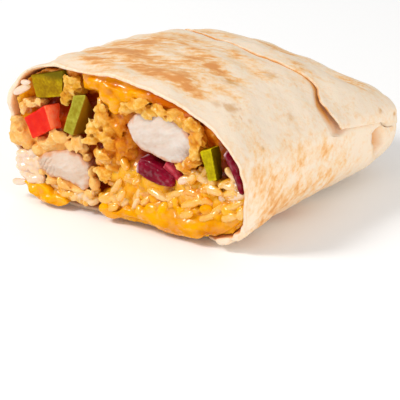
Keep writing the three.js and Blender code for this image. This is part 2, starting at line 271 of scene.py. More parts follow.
def make_blotches():
    """Soft clouds on a piece: 0 to 1, with their size in millimetres and their stretch along X, Y, Z."""
    group = bpy.data.node_groups.new("Blotches", "ShaderNodeTree")
    face = group.interface
    for name, kind, value in (("Size", "NodeSocketFloat", 5.0), ("Stretch", "NodeSocketVector", (1, 1, 1)),
                              ("Detail", "NodeSocketFloat", 3.0), ("Low", "NodeSocketFloat", 0.35),
                              ("High", "NodeSocketFloat", 0.65), ("Seed", "NodeSocketFloat", 0.0),
                              ("Turn", "NodeSocketVector", (0, 0, 0))):
        face.new_socket(name=name, in_out="INPUT", socket_type=kind).default_value = value
    face.new_socket(name="Mask", in_out="OUTPUT", socket_type="NodeSocketFloat")
    nodes, links = group.nodes, group.links
    inputs = nodes.new("NodeGroupInput")
    output = nodes.new("NodeGroupOutput")
    place = nodes.new("ShaderNodeTexCoord")
    stretch = nodes.new("ShaderNodeVectorMath")
    stretch.operation = "MULTIPLY"
    turn = nodes.new("ShaderNodeVectorRotate")
    turn.rotation_type = "EULER_XYZ"
    links.new(place.outputs["Object"], turn.inputs["Vector"])
    links.new(inputs.outputs["Turn"], turn.inputs["Rotation"])
    links.new(turn.outputs["Vector"], stretch.inputs[0])
    links.new(inputs.outputs["Stretch"], stretch.inputs[1])
    scale = nodes.new("ShaderNodeMath")
    scale.operation = "DIVIDE"
    scale.inputs[0].default_value = 1000.0
    links.new(inputs.outputs["Size"], scale.inputs[1])
    clouds = nodes.new("ShaderNodeTexNoise")
    clouds.noise_dimensions = "4D"
    links.new(stretch.outputs[0], clouds.inputs["Vector"])
    links.new(inputs.outputs["Seed"], clouds.inputs["W"])
    links.new(scale.outputs[0], clouds.inputs["Scale"])
    links.new(inputs.outputs["Detail"], clouds.inputs["Detail"])
    spread = nodes.new("ShaderNodeMapRange")
    links.new(clouds.outputs["Fac"], spread.inputs["Value"])
    links.new(inputs.outputs["Low"], spread.inputs["From Min"])
    links.new(inputs.outputs["High"], spread.inputs["From Max"])
    links.new(spread.outputs["Result"], output.inputs["Mask"])
    return group


def make_pits():
    """Rounded cells on a piece, 0 in the middle and 1 at the walls, with their size in millimetres."""
    group = bpy.data.node_groups.new("Pits", "ShaderNodeTree")
    face = group.interface
    face.new_socket(name="Size", in_out="INPUT", socket_type="NodeSocketFloat").default_value = 1.0
    face.new_socket(name="Stretch", in_out="INPUT", socket_type="NodeSocketVector").default_value = (1, 1, 1)
    face.new_socket(name="Mask", in_out="OUTPUT", socket_type="NodeSocketFloat")
    nodes, links = group.nodes, group.links
    inputs = nodes.new("NodeGroupInput")
    output = nodes.new("NodeGroupOutput")
    place = nodes.new("ShaderNodeTexCoord")
    stretch = nodes.new("ShaderNodeVectorMath")
    stretch.operation = "MULTIPLY"
    links.new(place.outputs["Object"], stretch.inputs[0])
    links.new(inputs.outputs["Stretch"], stretch.inputs[1])
    scale = nodes.new("ShaderNodeMath")
    scale.operation = "DIVIDE"
    scale.inputs[0].default_value = 1000.0
    links.new(inputs.outputs["Size"], scale.inputs[1])
    cells = nodes.new("ShaderNodeTexVoronoi")
    cells.feature = "SMOOTH_F1"
    cells.inputs["Smoothness"].default_value = 0.6
    links.new(stretch.outputs[0], cells.inputs["Vector"])
    links.new(scale.outputs[0], cells.inputs["Scale"])
    links.new(cells.outputs["Distance"], output.inputs["Mask"])
    return group


BLOTCHES = make_blotches()
PITS = make_pits()


class Finish:
    """A material being mixed: its shader, and short ways to add masks, ramps and bumps."""

    def __init__(self, name, roughness, **constants):
        self.material = bpy.data.materials.new(name)
        self.material.use_nodes = True
        tree = self.material.node_tree
        tree.nodes.clear()
        self.nodes, self.links = tree.nodes, tree.links
        out = self.nodes.new("ShaderNodeOutputMaterial")
        self.shader = self.nodes.new("ShaderNodeBsdfPrincipled")
        self.links.new(self.shader.outputs[0], out.inputs["Surface"])
        self.shader.inputs["Roughness"].default_value = roughness
        for label, value in constants.items():
            self.shader.inputs[label.replace("_", " ")].default_value = value

    def put(self, value, socket):
        if hasattr(value, "is_output"):
            self.links.new(value, socket)
        else:
            socket.default_value = value

    def mark(self, name):
        node = self.nodes.new("ShaderNodeAttribute")
        node.attribute_name = name
        return node.outputs["Fac"]

    def blotches(self, size, low=0.35, high=0.65, stretch=(1, 1, 1), detail=3.0, seed=0.0, turn=(0, 0, 0)):
        node = self.nodes.new("ShaderNodeGroup")
        node.node_tree = BLOTCHES
        for label, value in (("Size", size), ("Low", low), ("High", high), ("Stretch", stretch),
                             ("Detail", detail), ("Seed", seed), ("Turn", [math.radians(t) for t in turn])):
            node.inputs[label].default_value = value
        return node.outputs["Mask"]

    def pits(self, size, stretch=(1, 1, 1)):
        node = self.nodes.new("ShaderNodeGroup")
        node.node_tree = PITS
        node.inputs["Size"].default_value = size
        node.inputs["Stretch"].default_value = stretch
        return node.outputs["Mask"]

    def sum(self, *terms):
        """Adds values, each a socket or a (socket, weight) pair or a number."""
        total = None
        for term in terms:
            if isinstance(term, tuple):
                node = self.nodes.new("ShaderNodeMath")
                node.operation = "MULTIPLY_ADD"
                self.put(term[0], node.inputs[0])
                node.inputs[1].default_value = term[1]
                node.inputs[2].default_value = 0.0
                if total is not None:
                    self.put(total, node.inputs[2])
                total = node.outputs[0]
            elif total is None:
                total = term
            else:
                node = self.nodes.new("ShaderNodeMath")
                node.operation = "ADD"
                self.put(total, node.inputs[0])
                self.put(term, node.inputs[1])
                total = node.outputs[0]
        return total

    def ramp(self, value, *stops):
        node = self.nodes.new("ShaderNodeValToRGB")
        marks = node.color_ramp.elements
        while len(marks) < len(stops):
            marks.new(0.5)
        for spot, (place, colour) in zip(marks, sorted(stops)):
            spot.position = place
        for spot, (place, colour) in zip(marks, sorted(stops)):
            spot.color = colour if len(colour) == 4 else tone(*colour)
        self.links.new(value, node.inputs[0])
        return node.outputs["Color"]

    def blend(self, share, first, second):
        """Goes from one value to another as share goes from 0 to 1."""
        node = self.nodes.new("ShaderNodeMix")
        self.put(share, node.inputs[0])
        self.put(first, node.inputs[2])
        self.put(second, node.inputs[3])
        return node.outputs[0]

    def mix(self, share, first, second):
        node = self.nodes.new("ShaderNodeMix")
        node.data_type = "RGBA"
        self.put(share, node.inputs[0])
        self.put(first if not isinstance(first, tuple) else tone(*first), node.inputs[6])
        self.put(second if not isinstance(second, tuple) else tone(*second), node.inputs[7])
        return node.outputs[2]

    def depth(self, shallow, deep):
        """0 at a depth behind the cut called shallow, 1 at deep, in millimetres."""
        place = self.nodes.new("ShaderNodeTexCoord")
        split = self.nodes.new("ShaderNodeSeparateXYZ")
        self.links.new(place.outputs["Object"], split.inputs[0])
        spread = self.nodes.new("ShaderNodeMapRange")
        self.links.new(split.outputs["Y"], spread.inputs["Value"])
        spread.inputs["From Min"].default_value = (CUT_Y + shallow) * TO_METRES
        spread.inputs["From Max"].default_value = (CUT_Y + deep) * TO_METRES
        return spread.outputs["Result"]

    def spread(self, value, low, high, out_low=0.0, out_high=1.0):
        node = self.nodes.new("ShaderNodeMapRange")
        self.links.new(value, node.inputs["Value"])
        for label, number in (("From Min", low), ("From Max", high), ("To Min", out_low), ("To Max", out_high)):
            node.inputs[label].default_value = number
        return node.outputs["Result"]

    def colour(self, value):
        self.links.new(value, self.shader.inputs["Base Color"])
        return self

    def rough(self, value):
        self.links.new(value, self.shader.inputs["Roughness"])
        return self

    def wet(self, patches, least, most):
        """A glaze that lies in patches."""
        self.links.new(self.spread(patches, 0, 1, least, most), self.shader.inputs["Coat Weight"])
        return self

    def bump(self, height, millimetres, strength=1.0):
        node = self.nodes.new("ShaderNodeBump")
        node.inputs["Strength"].default_value = strength
        node.inputs["Distance"].default_value = millimetres * TO_METRES
        self.links.new(height, node.inputs["Height"])
        self.links.new(node.outputs["Normal"], self.shader.inputs["Normal"])
        return self


def soft_inside(weight, radius, depth):
    """Settings for a surface that light sinks into; depth is in millimetres."""
    return {"Subsurface_Weight": weight, "Subsurface_Radius": radius, "Subsurface_Scale": depth * TO_METRES}


def toasted_tortilla():
    skin = Finish("toasted tortilla", 0.62, Specular_IOR_Level=0.22, **soft_inside(0.1, (1.0, 0.55, 0.3), 1.2))
    over = skin.blotches(1.7, 0.36, 0.64, (0.34, 1, 1), 6.0, turn=(0, 0, -37))
    beside = skin.blotches(1.6, 0.36, 0.64, (1, 1, 0.42), 6.0, 4.0, turn=(46, 0, 0))
    streaks = skin.blend(skin.mark("flank"), over, beside)
    toast = skin.mark("toast")
    scorched = skin.blend(skin.spread(toast, 0.08, 0.5), 0.5, streaks)
    patches = skin.blotches(6, 0.34, 0.66, detail=3.0, seed=2.0)
    mottling = skin.blotches(1.5, 0.3, 0.7, detail=4.0, seed=6.0)
    speckle = skin.blotches(0.6, 0.25, 0.75, detail=3.0, seed=5.0)
    heat = skin.sum((toast, 0.95), (scorched, 0.62), (streaks, 0.1), (patches, 0.24), (mottling, 0.3), (speckle, 0.2),
                    -0.73)
    baked = skin.ramp(
        heat, (0.0, (242, 222, 197)), (0.16, (242, 213, 178)), (0.34, (241, 198, 147)),
        (0.56, (234, 172, 106)), (0.85, (220, 148, 82)),
    )
    freckles = skin.mix(skin.mark("freckle"), baked, (204, 148, 76))
    # edge: painted shade on the groove floor before the flap, in the tuck pocket and along the flap's front edge and
    # sides, with a faint ochre line on the cut rim
    edges = skin.mix(skin.mark("edge"), freckles, (224, 154, 64))
    skin.colour(skin.mix(skin.mark("lining"), edges, (238, 172, 108)))
    grain = skin.blotches(0.5, 0.2, 0.8, detail=2.0, seed=7.0)
    skin.bump(skin.sum((skin.pits(3.0), -0.35), (mottling, 0.3), (speckle, 0.25), (grain, 0.16)), 0.2, 0.7)
    return skin.material


def fried_crust(name, *shades):
    """Shades run from the deepest folds to the raised edges; the ramp paints shade into pits and into crust lying
    further behind the cut, and light onto ridges.
    """
    crust = Finish(name, 0.45, Specular_IOR_Level=0.1, Coat_Roughness=0.2, **soft_inside(0.12, (1.0, 0.5, 0.1), 1.4))
    crust.wet(crust.blotches(1.4, 0.52, 0.6, seed=9.0), 0.0, 0.8)
    # painted shade: pits and crust further behind the cut go towards the first shades, ridges towards the last
    heat = crust.sum(
        (crust.mark("ridge"), 0.85), (crust.depth(0.5, 6.5), -0.5), (crust.blotches(4, 0.3, 0.7), 0.36),
        (crust.blotches(0.8, 0.3, 0.7, seed=3.0), 0.2), -0.1,
    )
    dry = crust.ramp(heat, *zip((0.0, 0.2, 0.4, 0.6, 0.85), shades))
    soaked = crust.ramp(heat, (0.1, (140, 50, 0)), (0.4, (200, 104, 2)), (0.8, (230, 152, 30)))
    crust.colour(crust.mix(crust.mark("soaked"), dry, soaked))
    crust.bump(crust.sum((crust.pits(0.9), -0.4), (crust.blotches(0.45, 0.2, 0.8), 0.6)), 0.3, 0.6)
    return crust.material


def chicken_meat(name, fold, body, crest):
    meat = Finish(name, 0.42, Specular_IOR_Level=0.15, **soft_inside(0.25, (1.0, 0.6, 0.45), 2.0))
    strands = meat.blotches(1.1, 0.3, 0.7, (0.3, 0.5, 1), 4.0, turn=(0, 28, 0))
    # painted light and shade: raised crests go towards the crest colour, pits towards the fold colour
    heat = meat.sum((strands, 0.45), (meat.blotches(6, 0.3, 0.7, seed=1.0), 0.3), (meat.mark("ridge"), 0.45), -0.14)
    pale = meat.ramp(heat, (0.0, fold), (0.3, body), (0.8, crest))
    # painted shade: the meat darkens towards (180, 96, 44) as it lies deeper behind the cut; the browned rim is its own
    # colour
    meat.colour(meat.mix(meat.mark("browned"), meat.mix(meat.depth(1.5, 6), pale, (180, 96, 44)), (214, 136, 74)))
    meat.bump(meat.sum((strands, 0.7), (meat.blotches(0.5, 0.2, 0.8, (0.4, 1, 1), turn=(0, 28, 0)), 0.4)), 0.22, 0.8)
    return meat.material


def melted_cheese(name, bright, deep):
    cheese = Finish(name, 0.2, Specular_IOR_Level=0.04, Coat_Roughness=0.2, **soft_inside(0.15, (1.0, 0.5, 0.05), 2.0))
    # painted shade: creases, and the marked parts under the tortilla's rim and low at the bottom cheese's right end, go
    # towards the deep colour; ridges lighter
    body = cheese.sum((cheese.blotches(6, 0.3, 0.7, (0.8, 1, 1)), 0.4), (cheese.mark("ridge"), 1.0),
                      (cheese.mark("painted_shadow"), -0.7), -0.2)
    cheese.colour(cheese.ramp(body, (0.0, deep), (0.75, bright)))
    cheese.rough(cheese.spread(cheese.blotches(1.6, 0.3, 0.7, seed=4.0), 0, 1, 0.12, 0.3))
    cheese.wet(cheese.blotches(2.0, 0.46, 0.56, (0.6, 1, 1), seed=9.0), 0.0, 1.0)
    cheese.bump(cheese.sum((cheese.blotches(3.2, 0.2, 0.8), 0.7), (cheese.blotches(1.1, 0.2, 0.8), 0.2)), 0.3, 0.6)
    return cheese.material


def cooked_rice():
    rice = Finish("cooked rice", 0.2, Specular_IOR_Level=0.1, Coat_Weight=1.0, Coat_Roughness=0.18, Coat_IOR=1.75,
                  **soft_inside(0.25, (1.0, 0.55, 0.25), 1.8))
    cloudy = rice.blotches(1.3, 0.3, 0.7, detail=2.0)
    stain = rice.sum((rice.mark("stain"), 1.0), (cloudy, 0.22), (rice.blotches(4, 0.3, 0.7, seed=2.0), 0.2), -0.2)
    shade = rice.ramp(
        stain, (0.0, (238, 208, 184)), (0.3, (242, 196, 128)), (0.6, (242, 180, 54)), (0.95, (236, 148, 0)),
    )
    # painted shade: grains lying further behind the cut go towards dark orange-brown
    rice.colour(rice.mix(rice.depth(3.0, 7), shade, (176, 72, 0)))
    rice.rough(rice.spread(cloudy, 0, 1, 0.12, 0.34))
    rice.bump(rice.sum((rice.blotches(0.7, 0.2, 0.8), 0.6), (cloudy, 0.4)), 0.2, 0.7)
    return rice.material


def packed_sauce():
    paste = Finish("packed rice and sauce", 0.24, Specular_IOR_Level=0.05, Coat_Roughness=0.08,
                   **soft_inside(0.1, (1.0, 0.4, 0.1), 1.5))
    paste.wet(paste.blotches(1.6, 0.5, 0.58, seed=9.0), 0.08, 1.0)
    # painted shade: pits and the face further behind the cut are darker, ridges lighter
    heat = paste.sum((paste.mark("ridge"), 0.7), (paste.depth(2.4, 7.5), -0.75), (paste.blotches(3, 0.3, 0.7), 0.3),
                     (paste.blotches(0.9, 0.3, 0.7, seed=2.0), 0.15), 0.1)
    dry = paste.ramp(heat, (0.0, (164, 50, 0)), (0.25, (182, 68, 0)), (0.5, (202, 100, 8)), (0.75, (214, 126, 28)),
                     (1.0, (228, 158, 66)))
    wet = paste.ramp(heat, (0.0, (136, 40, 0)), (0.25, (204, 104, 0)), (0.5, (234, 150, 6)), (0.8, (244, 178, 36)))
    paste.colour(paste.mix(paste.mark("saucy"), dry, wet))
    paste.bump(paste.sum((paste.pits(1.6), -0.5), (paste.blotches(0.7, 0.2, 0.8), 0.3)), 0.3, 0.8)
    return paste.material


def avocado_flesh(name, rim, heart, shade):
    flesh = Finish(name, 0.4, Specular_IOR_Level=0.05, **soft_inside(0.12, (0.8, 1.0, 0.1), 1.2))
    # painted light and shade: pits go towards the shade colour and ridges towards the rim colour, over the flesh's own
    # mottling
    mottle_and_painted_shade = flesh.sum((flesh.blotches(3.5, 0.3, 0.7), 0.35), (flesh.blotches(0.8, 0.3, 0.7, seed=3.0), 0.3),
                       (flesh.mark("ridge"), 1.0), -0.32)
    front = flesh.ramp(mottle_and_painted_shade, (0.0, shade), (0.45, heart), (0.85, rim))
    # painted shade: faces turned towards +X, away from the key lamp, take the shade colour
    painted_shade_sides = flesh.mix(flesh.mark("side"), front, shade)
    # painted shadow: the band marked skin along the top of the highest die is the tortilla rim's shadow, painted dark
    # olive
    flesh.colour(flesh.mix(flesh.mark("skin"), painted_shade_sides, (96, 84, 0)))
    flesh.bump(flesh.sum((flesh.blotches(0.6, 0.2, 0.8), 0.5), (flesh.blotches(2.5, 0.2, 0.8, (1, 1, 0.3)), 0.5)),
               0.16, 0.5)
    return flesh.material


def tomato_flesh():
    tomato = Finish("tomato", 0.2, Specular_IOR_Level=0.08, Coat_Weight=0.15, Coat_Roughness=0.06, Emission_Strength=0.3,
                    **soft_inside(0.45, (1.0, 0.25, 0.12), 3.5))
    # painted light and shade: ridges lighter, pits darker
    body = tomato.sum((tomato.blotches(3, 0.3, 0.7), 0.4), (tomato.mark("ridge"), 0.5), 0.05)
    red = tomato.ramp(body, (0.0, (190, 4, 0)), (0.5, (224, 24, 0)), (0.9, (238, 66, 26)))
    # side faces turned towards +X: the lighter pulp colour is partly the flesh's own and partly painted light on the
    # side away from the key lamp
    pulp_and_painted_light = tomato.ramp(tomato.blotches(1.6, 0.3, 0.7), (0.0, (250, 90, 40)), (1.0, (255, 170, 120)))
    tomato.colour(tomato.mix(tomato.mark("side"), red, pulp_and_painted_light))
    # painted glow: the side faces give off red light of their own, standing in for light passing through the flesh onto
    # the shaded side
    tomato.links.new(tomato.mix(tomato.mark("side"), (0, 0, 0), (255, 40, 8)), tomato.shader.inputs["Emission Color"])
    tomato.bump(tomato.sum((tomato.blotches(1.1, 0.2, 0.8), 0.5), (tomato.pits(1.2), -0.3)), 0.14, 0.4)
    return tomato.material


def onion_skin(name, dark, light, pale):
    onion = Finish(name, 0.24, Specular_IOR_Level=0.05, Coat_Roughness=0.06, **soft_inside(0.12, (1.0, 0.2, 0.35), 1.0))
    onion.wet(onion.blotches(1.6, 0.5, 0.6, seed=9.0), 0.05, 1.0)
    lines = onion.blotches(1.1, 0.3, 0.7, (0.25, 0.6, 1.1), 3.0, turn=(0, -16, 0))
    # painted light and shade: ridges lighter, pits darker
    body = onion.sum((lines, 0.6), (onion.blotches(4, 0.3, 0.7, seed=2.0), 0.3), (onion.mark("ridge"), 0.4), -0.15)
    purple = onion.ramp(body, (0.0, dark), (0.9, light))
    # the pale end: the cut end's own paler flesh, with a painted highlight in streaks
    onion.colour(onion.mix(onion.mark("pale"), purple, pale))
    onion.bump(lines, 0.15, 0.6)
    return onion.material


# ---------------------------------------------------------------- camera, floor and lamps

def look_from(azimuth, elevation, roll, aim, away, lens):
    """Camera on the given side of the half, in degrees and millimetres."""
    a, e, r = (math.radians(v) for v in (azimuth, elevation, roll))
    back = Vector((math.sin(a) * math.cos(e), -math.cos(a) * math.cos(e), math.sin(e)))
    side = Vector((math.cos(a), math.sin(a), 0))
    up = back.cross(side)
    right = side * math.cos(r) + up * math.sin(r)
    over = up * math.cos(r) - side * math.sin(r)
    bpy.ops.object.camera_add(location=(Vector(aim) + back * away) * TO_METRES)
    camera = bpy.context.object
    spot = camera.location.copy()
    camera.matrix_world = Matrix((
        (right.x, over.x, back.x, spot.x), (right.y, over.y, back.y, spot.y),
        (right.z, over.z, back.z, spot.z), (0, 0, 0, 1),
    ))
    camera.data.lens = lens
    camera.data.sensor_width = 36
    camera.data.clip_start = 0.05
    camera.data.clip_end = 20
    bpy.context.scene.camera = camera
    return camera


def softbox(name, place, aim, wide, high, power, warmth=(1, 1, 1)):
    bpy.ops.object.light_add(type="AREA", location=Vector(place) * TO_METRES)
    lamp = bpy.context.object
    lamp.name = name
    lamp.rotation_euler = (Vector(place) - Vector(aim)).to_track_quat("Z", "Y").to_euler()
    lamp.data.shape = "RECTANGLE"
    lamp.data.size = wide * TO_METRES
    lamp.data.size_y = high * TO_METRES
    lamp.data.energy = power
    lamp.data.color = warmth
    return lamp


def studio():
    look_from(37.0857, 22.6834, -2.2955, (6.479, -14.405, 1.482), 1000.0, 311.42)
    clear_selection()
    bpy.ops.mesh.primitive_plane_add(size=6)
    floor = bpy.context.object
    floor.name = "studio_floor"
    paper = Finish("white paper", 0.7, Specular_IOR_Level=0.1)
    paper.shader.inputs["Base Color"].default_value = (1.0, 1.0, 1.0, 1)
    floor.data.materials.append(paper.material)
    softbox("key", (-460, -440, 640), (0, 0, 20), 230, 230, 4.4, (1, 0.985, 0.96))
    softbox("fill", (900, -260, 260), (0, 0, 20), 500, 400, 3.2)
    world = bpy.data.worlds.new("white room")
    bpy.context.scene.world = world
    world.use_nodes = True
    sky = world.node_tree.nodes["Background"]
    sky.inputs["Color"].default_value = (1, 1, 1, 1)
    sky.inputs["Strength"].default_value = 0.6
    bpy.context.scene.view_settings.view_transform = "Standard"


# ---------------------------------------------------------------- tortilla

def section(right, upper, depth):
    """Half width, half height and roundness of a quarter of the wrap's section at a depth."""
    inside = np.clip(depth, 0, LENGTH)
    belly = np.sin(math.pi / 2 * np.minimum(inside / 60, 1))
    end = np.clip((inside - 65) / (LENGTH - 65), 0, 1) ** 6.7
    close = (1 - end) ** (1 / 3.5)
    fall = np.clip((inside - 10) / (LENGTH - 10), 0, 1) ** 1.2
    top = NOSE + (HEIGHT - NOSE) * (1 - fall) ** 0.3
    rise = np.clip((inside - LENGTH + 22) / 22, 0, 1) ** 2.4
    base = NOSE * (1 - np.sqrt(1 - rise)) - FLAT_SINK
    round_by = np.where(upper, np.where(right, 2.1, 3.4), np.where(right, 3.8, 3.6))
    half_width = (np.where(right, RIGHT_HALF, LEFT_HALF) - belly) * close
    half_height = np.where(upper, top - WAIST, WAIST - base)
    return half_width, half_height, round_by


def wrap_point(degrees, depth, grow=0.0, shrink=1.0):
    """A point of the wrap's section: four quarter superellipses round the crown line."""
    angle = np.radians(degrees)
    right = np.cos(angle) >= -1e-9
    upper = np.sin(angle) >= 0
    half_width, half_height, round_by = section(right, upper, depth)
    power = 2 / round_by
    half_width = half_width + grow
    half_height = half_height + grow
    across = np.maximum(half_width, 0.01) * np.abs(np.cos(angle)) ** power
    along = np.maximum(half_height, 0.01) * np.abs(np.sin(angle)) ** power
    x = CROWN_X + LEAN * depth + np.where(right, across, -across) * shrink
    z = np.maximum(WAIST + np.where(upper, along, -along) * shrink, np.maximum(-grow, 0))
    return np.stack(np.broadcast_arrays(x, CUT_Y + depth, z), -1)


def keep_inside(piece, start=0.8):
    """Holds a filling piece inside the wrap from a little behind the cut, and above the table."""
    points = points_of(piece)
    depth = points[:, 1] - CUT_Y
    x = points[:, 0] - CROWN_X - LEAN * depth
    z = points[:, 2] - WAIST
    half_width, half_height, round_by = section(x >= 0, z >= 0, depth)
    wall = 1.1 + 1.3 * smooth_step(depth, 0, 6) + 0.9 * smooth_step(depth, 24, 36)
    wall -= 1.2 * smooth_step(-points[:, 0], 36, 40) * (1 - smooth_step(depth, 3, 7))
    tight = 1 - 0.25 * smooth_step(depth, 48, 64)
    reach = ((np.abs(x) / (half_width - wall)) ** round_by + (np.abs(z) / (half_height - wall)) ** round_by)
    reach = reach ** (1 / round_by) / tight
    pull = np.where((reach > 1) & (depth > start), 1 / np.maximum(reach, 1e-6), 1)
    open_side = smooth_step(-points[:, 0], 36, 40) * smooth_step(points[:, 2], 3, 7) * (
        1 - smooth_step(points[:, 2], 28, 35))
    held = smooth_step(depth - 0.6 * open_side, start, start + 1.2)
    pull = 1 + (pull - 1) * held
    points[:, 0] = CROWN_X + LEAN * depth + x * pull
    points[:, 2] = np.maximum(WAIST + z * pull, 0.12)
    move_points(piece, points)
    return piece


def even_angles(low, high, count):
    """Angles that part the wrap's section into equal steps along its skin."""
    fine = np.linspace(low, high, 4000)
    path = wrap_point(fine, np.full(4000, 24.0))
    reach = np.concatenate([[0], np.cumsum(np.linalg.norm(np.diff(path, axis=0), axis=1))])
    return np.interp(np.linspace(0, reach[-1], count), reach, fine)


def flap_edge(degrees):
    angles, depths = FLAP_EDGE.T
    angle = np.clip(degrees, angles[0], angles[-1])
    stop = np.clip(np.searchsorted(angles, angle), 1, len(angles) - 1)
    share = smooth_step(angle, angles[stop - 1], angles[stop])
    edge = depths[stop - 1] + (depths[stop] - depths[stop - 1]) * share
    return edge + (depths[0] - edge) * smooth_step(degrees, 200, 262)


def flap_low(depth):
    return FLAP_LOW_ANGLE - FLAP_SLOPE * (depth - FLAP_EDGE[0][1])


def flap_cover(degrees, depth):
    low = flap_low(depth)
    angle = np.where(degrees > 90, 180 - degrees, degrees)
    return smooth_step(angle, low - 3, low + 3) * smooth_step(LENGTH - depth, 0, 12)


def groove_at(degrees):
    opening = 1 - smooth_step(degrees, FLAP_LOW_ANGLE - 4, GROOVE_TOP_ANGLE)
    return opening * smooth_step(degrees, FLAP_LOW_ANGLE - 5, FLAP_LOW_ANGLE - 1)


TOAST = [  # x, depth from the cut, z, reach round the wrap, reach along it, strength
    (-16, 8, 46, 6, 4, 0.55), (-22, 20, 45, 6, 6, 0.6), (-16, 19, 45, 9, 5, 0.75), (-18, 31, 44, 9, 6, 0.6),
    (-18, 38, 42.6, 8, 4, 0.55), (-15, 46, 41, 8, 4, 0.42), (-0.6, 44, 41.5, 9, 4, 0.28), (6, 28, 43, 9, 3.5, 0.42), (-8, 2.5, 45.6, 9, 2.5, 0.22),
    (-1.4, 19, 45, 9, 3.5, 0.5), (-2.6, 11, 46, 9, 3, 0.55), (5.7, 9, 45, 8, 2.6, 0.75), (11.5, 11, 44, 8, 3, 0.7),
    (12.7, 26, 42, 8, 3, 0.6), (16.5, 9, 42.6, 5, 3, 0.4), (22, 18, 40, 6, 3, 0.28), (9, 42, 41, 8, 3, 0.3),
    (19.5, 37, 39.4, 6, 3, 0.25), (-13, 60, 38, 8, 3, 0.3), (22.8, 53, 36, 5, 4, 0.3), (18.5, 52, 37.4, 5, 3, 0.15),
    (41, 6, 19, 7, 6, 0.24), (41, 13, 15, 9, 6, 0.34), (41, 25, 21, 5, 5, 0.24), (41.4, 26, 12, 5, 6, 0.26),
    (41.8, 37, 20, 5, 4, 0.24), (41.3, 36, 11, 5, 7, 0.3), (39.8, 17, 8, 4, 7, 0.34), (38.6, 10, 28, 4, 4, 0.22),
    (40, 9, 6, 4, 4, 0.4), (39.3, 24, 27, 3, 3, 0.2), (42, 45, 14, 4, 4, 0.2),
    (-30, 12, 43, 5, 4, 0.3), (-38, 26, 38, 4, 8, 0.4), (-42, 40, 24, 8, 7, 0.4), (-41, 20, 16, 6, 7, 0.45),
    (-30, 60, 36, 7, 5, 0.5), (5, 66, 33, 9, 4, 0.4), (-12, 73, 28, 8, 3, 0.35), (30, 68, 26, 6, 4, 0.4),
    (-7.3, 38.8, 42.5, 5, 3.2, 0.35), (-0.4, 34.5, 43.0, 5, 3.2, 0.5), (6.0, 30.5, 43.0, 5, 3.2, 0.5), (5.3, 23.7, 43.8, 5, 3.2, 0.45),
    (10.4, 27.3, 42.7, 5, 3.2, 0.4), (10.4, 14.0, 43.9, 5, 3.2, 0.45), (12.2, 19.0, 43.1, 5, 3.2, 0.3), (1.6, 41.3, 41.8, 5, 3.2, 0.3),
    (10, 77, 14, 9, 3, 0.35), (-30, 72, 16, 6, 4, 0.4), (20, 30, 0, 16, 9, 0.7), (-15, 22, 0, 12, 9, 0.8),
    (0, 50, 0, 15, 8, 0.6), (30, 10, 0, 8, 6, 0.5), (-28, 50, 0, 8, 7, 0.6),
]
FRECKLES = [  # x, depth, z, radius, strength
    (19.4, 23.7, 40.8, 2.0, 0.75), (27.6, 12.3, 38.1, 2.4, 0.8), (22.3, 38.9, 38.2, 2.2, 0.5),
    (35.9, 29.5, 31.3, 1.5, 0.4), (24.5, 10.2, 39.6, 1.6, 0.5), (33, 14, 34.5, 1.0, 0.3), (12, 20, 43, 0.5, 0.7),
    (-24, 12, 45, 0.5, 0.7), (38.5, 12, 28.6, 0.5, 0.9), (41.8, 65.7, 22.4, 0.8, 1.0), (42.8, 72, 19.4, 0.8, 1.0),
    (30, 27, 36.5, 0.45, 0.7), (3, 36, 42.8, 0.5, 0.6), (-36, 40, 36, 1.8, 0.6), (-41, 28, 22, 1.4, 0.6),
    (14, 70, 30, 1.6, 0.5),
]


def bake_marks(piece):
    """Marks where the griddle has toasted the tortilla, and its darker blisters."""
    points = points_of(piece)
    depth = points[:, 1] - CUT_Y
    heat = np.zeros(len(points))
    for x, deep, z, round_it, along, strength in TOAST:
        off = ((points[:, 0] - x) ** 2 + (points[:, 2] - z) ** 2) / round_it ** 2 + (depth - deep) ** 2 / along ** 2
        heat = np.maximum(heat, strength * np.exp(-off * 0.8)) + 0.25 * strength * np.exp(-off * 0.8)
    mark(piece, "toast", np.clip(heat, 0, 1))
    facing = normals_of(piece)
    mark(piece, "flank", smooth_step(np.abs(facing[:, 0]), 0.55, 0.85))
    spots = np.zeros(len(points))
    ragged = 1 + 0.35 * waves(points, 2.2, 8)
    for x, deep, z, radius, strength in FRECKLES:
        off = np.sqrt((points[:, 0] - x) ** 2 + (points[:, 2] - z) ** 2 + (depth - deep) ** 2) / radius
        spots = np.maximum(spots, 0.9 * strength * (1 - smooth_step(off * ragged, 0.1, 1.45)))
    mark(piece, "freckle", spots)


SETTLED = np.array([  # x, depth, z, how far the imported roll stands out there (or has settled)
    (-38.5, 1.5, 40, 1.5), (-42, 1, 33, 0.9), (-42.8, 1, 26, 0.8), (-43, 1, 19, 0.9), (-42, 1, 13, -0.4), (-41.4, 2, 7, -1.2),
    (-34.1, 5.1, 42.4, 0), (-32.7, 10.4, 42.9, -0.6), (-32.4, 16.9, 42.4, -1.0), (-31.2, 22.4, 42.3, -0.85),
    (-31, 29.2, 41.5, -0.8), (-30.7, 35.9, 40.6, -1.0), (-30.3, 42.7, 39.6, -0.85), (-29.7, 49.1, 38.7, -0.6),
    (-29, 55.6, 37.4, -0.2), (-27, 60.3, 36.7, -0.3), (-25.1, 63.9, 36, -0.9), (-21.5, 66.4, 35.5, -0.9),
    (-16.9, 67.8, 35.2, -0.4), (-12, 68.7, 34.9, 0.5), (-6.2, 68.2, 35.1, 0.4), (-1, 68.4, 35, -0.2),
    (3.9, 69.1, 34.4, -1.0), (8.6, 70.1, 33.6, -1.6), (12.7, 71.9, 32.3, -1.7), (17.7, 72.3, 31.4, -2.2),
    (22.7, 72.8, 30.2, -2.7), (27.4, 73.7, 28.7, -3.0), (32.2, 74.3, 26.9, -1.2),
])


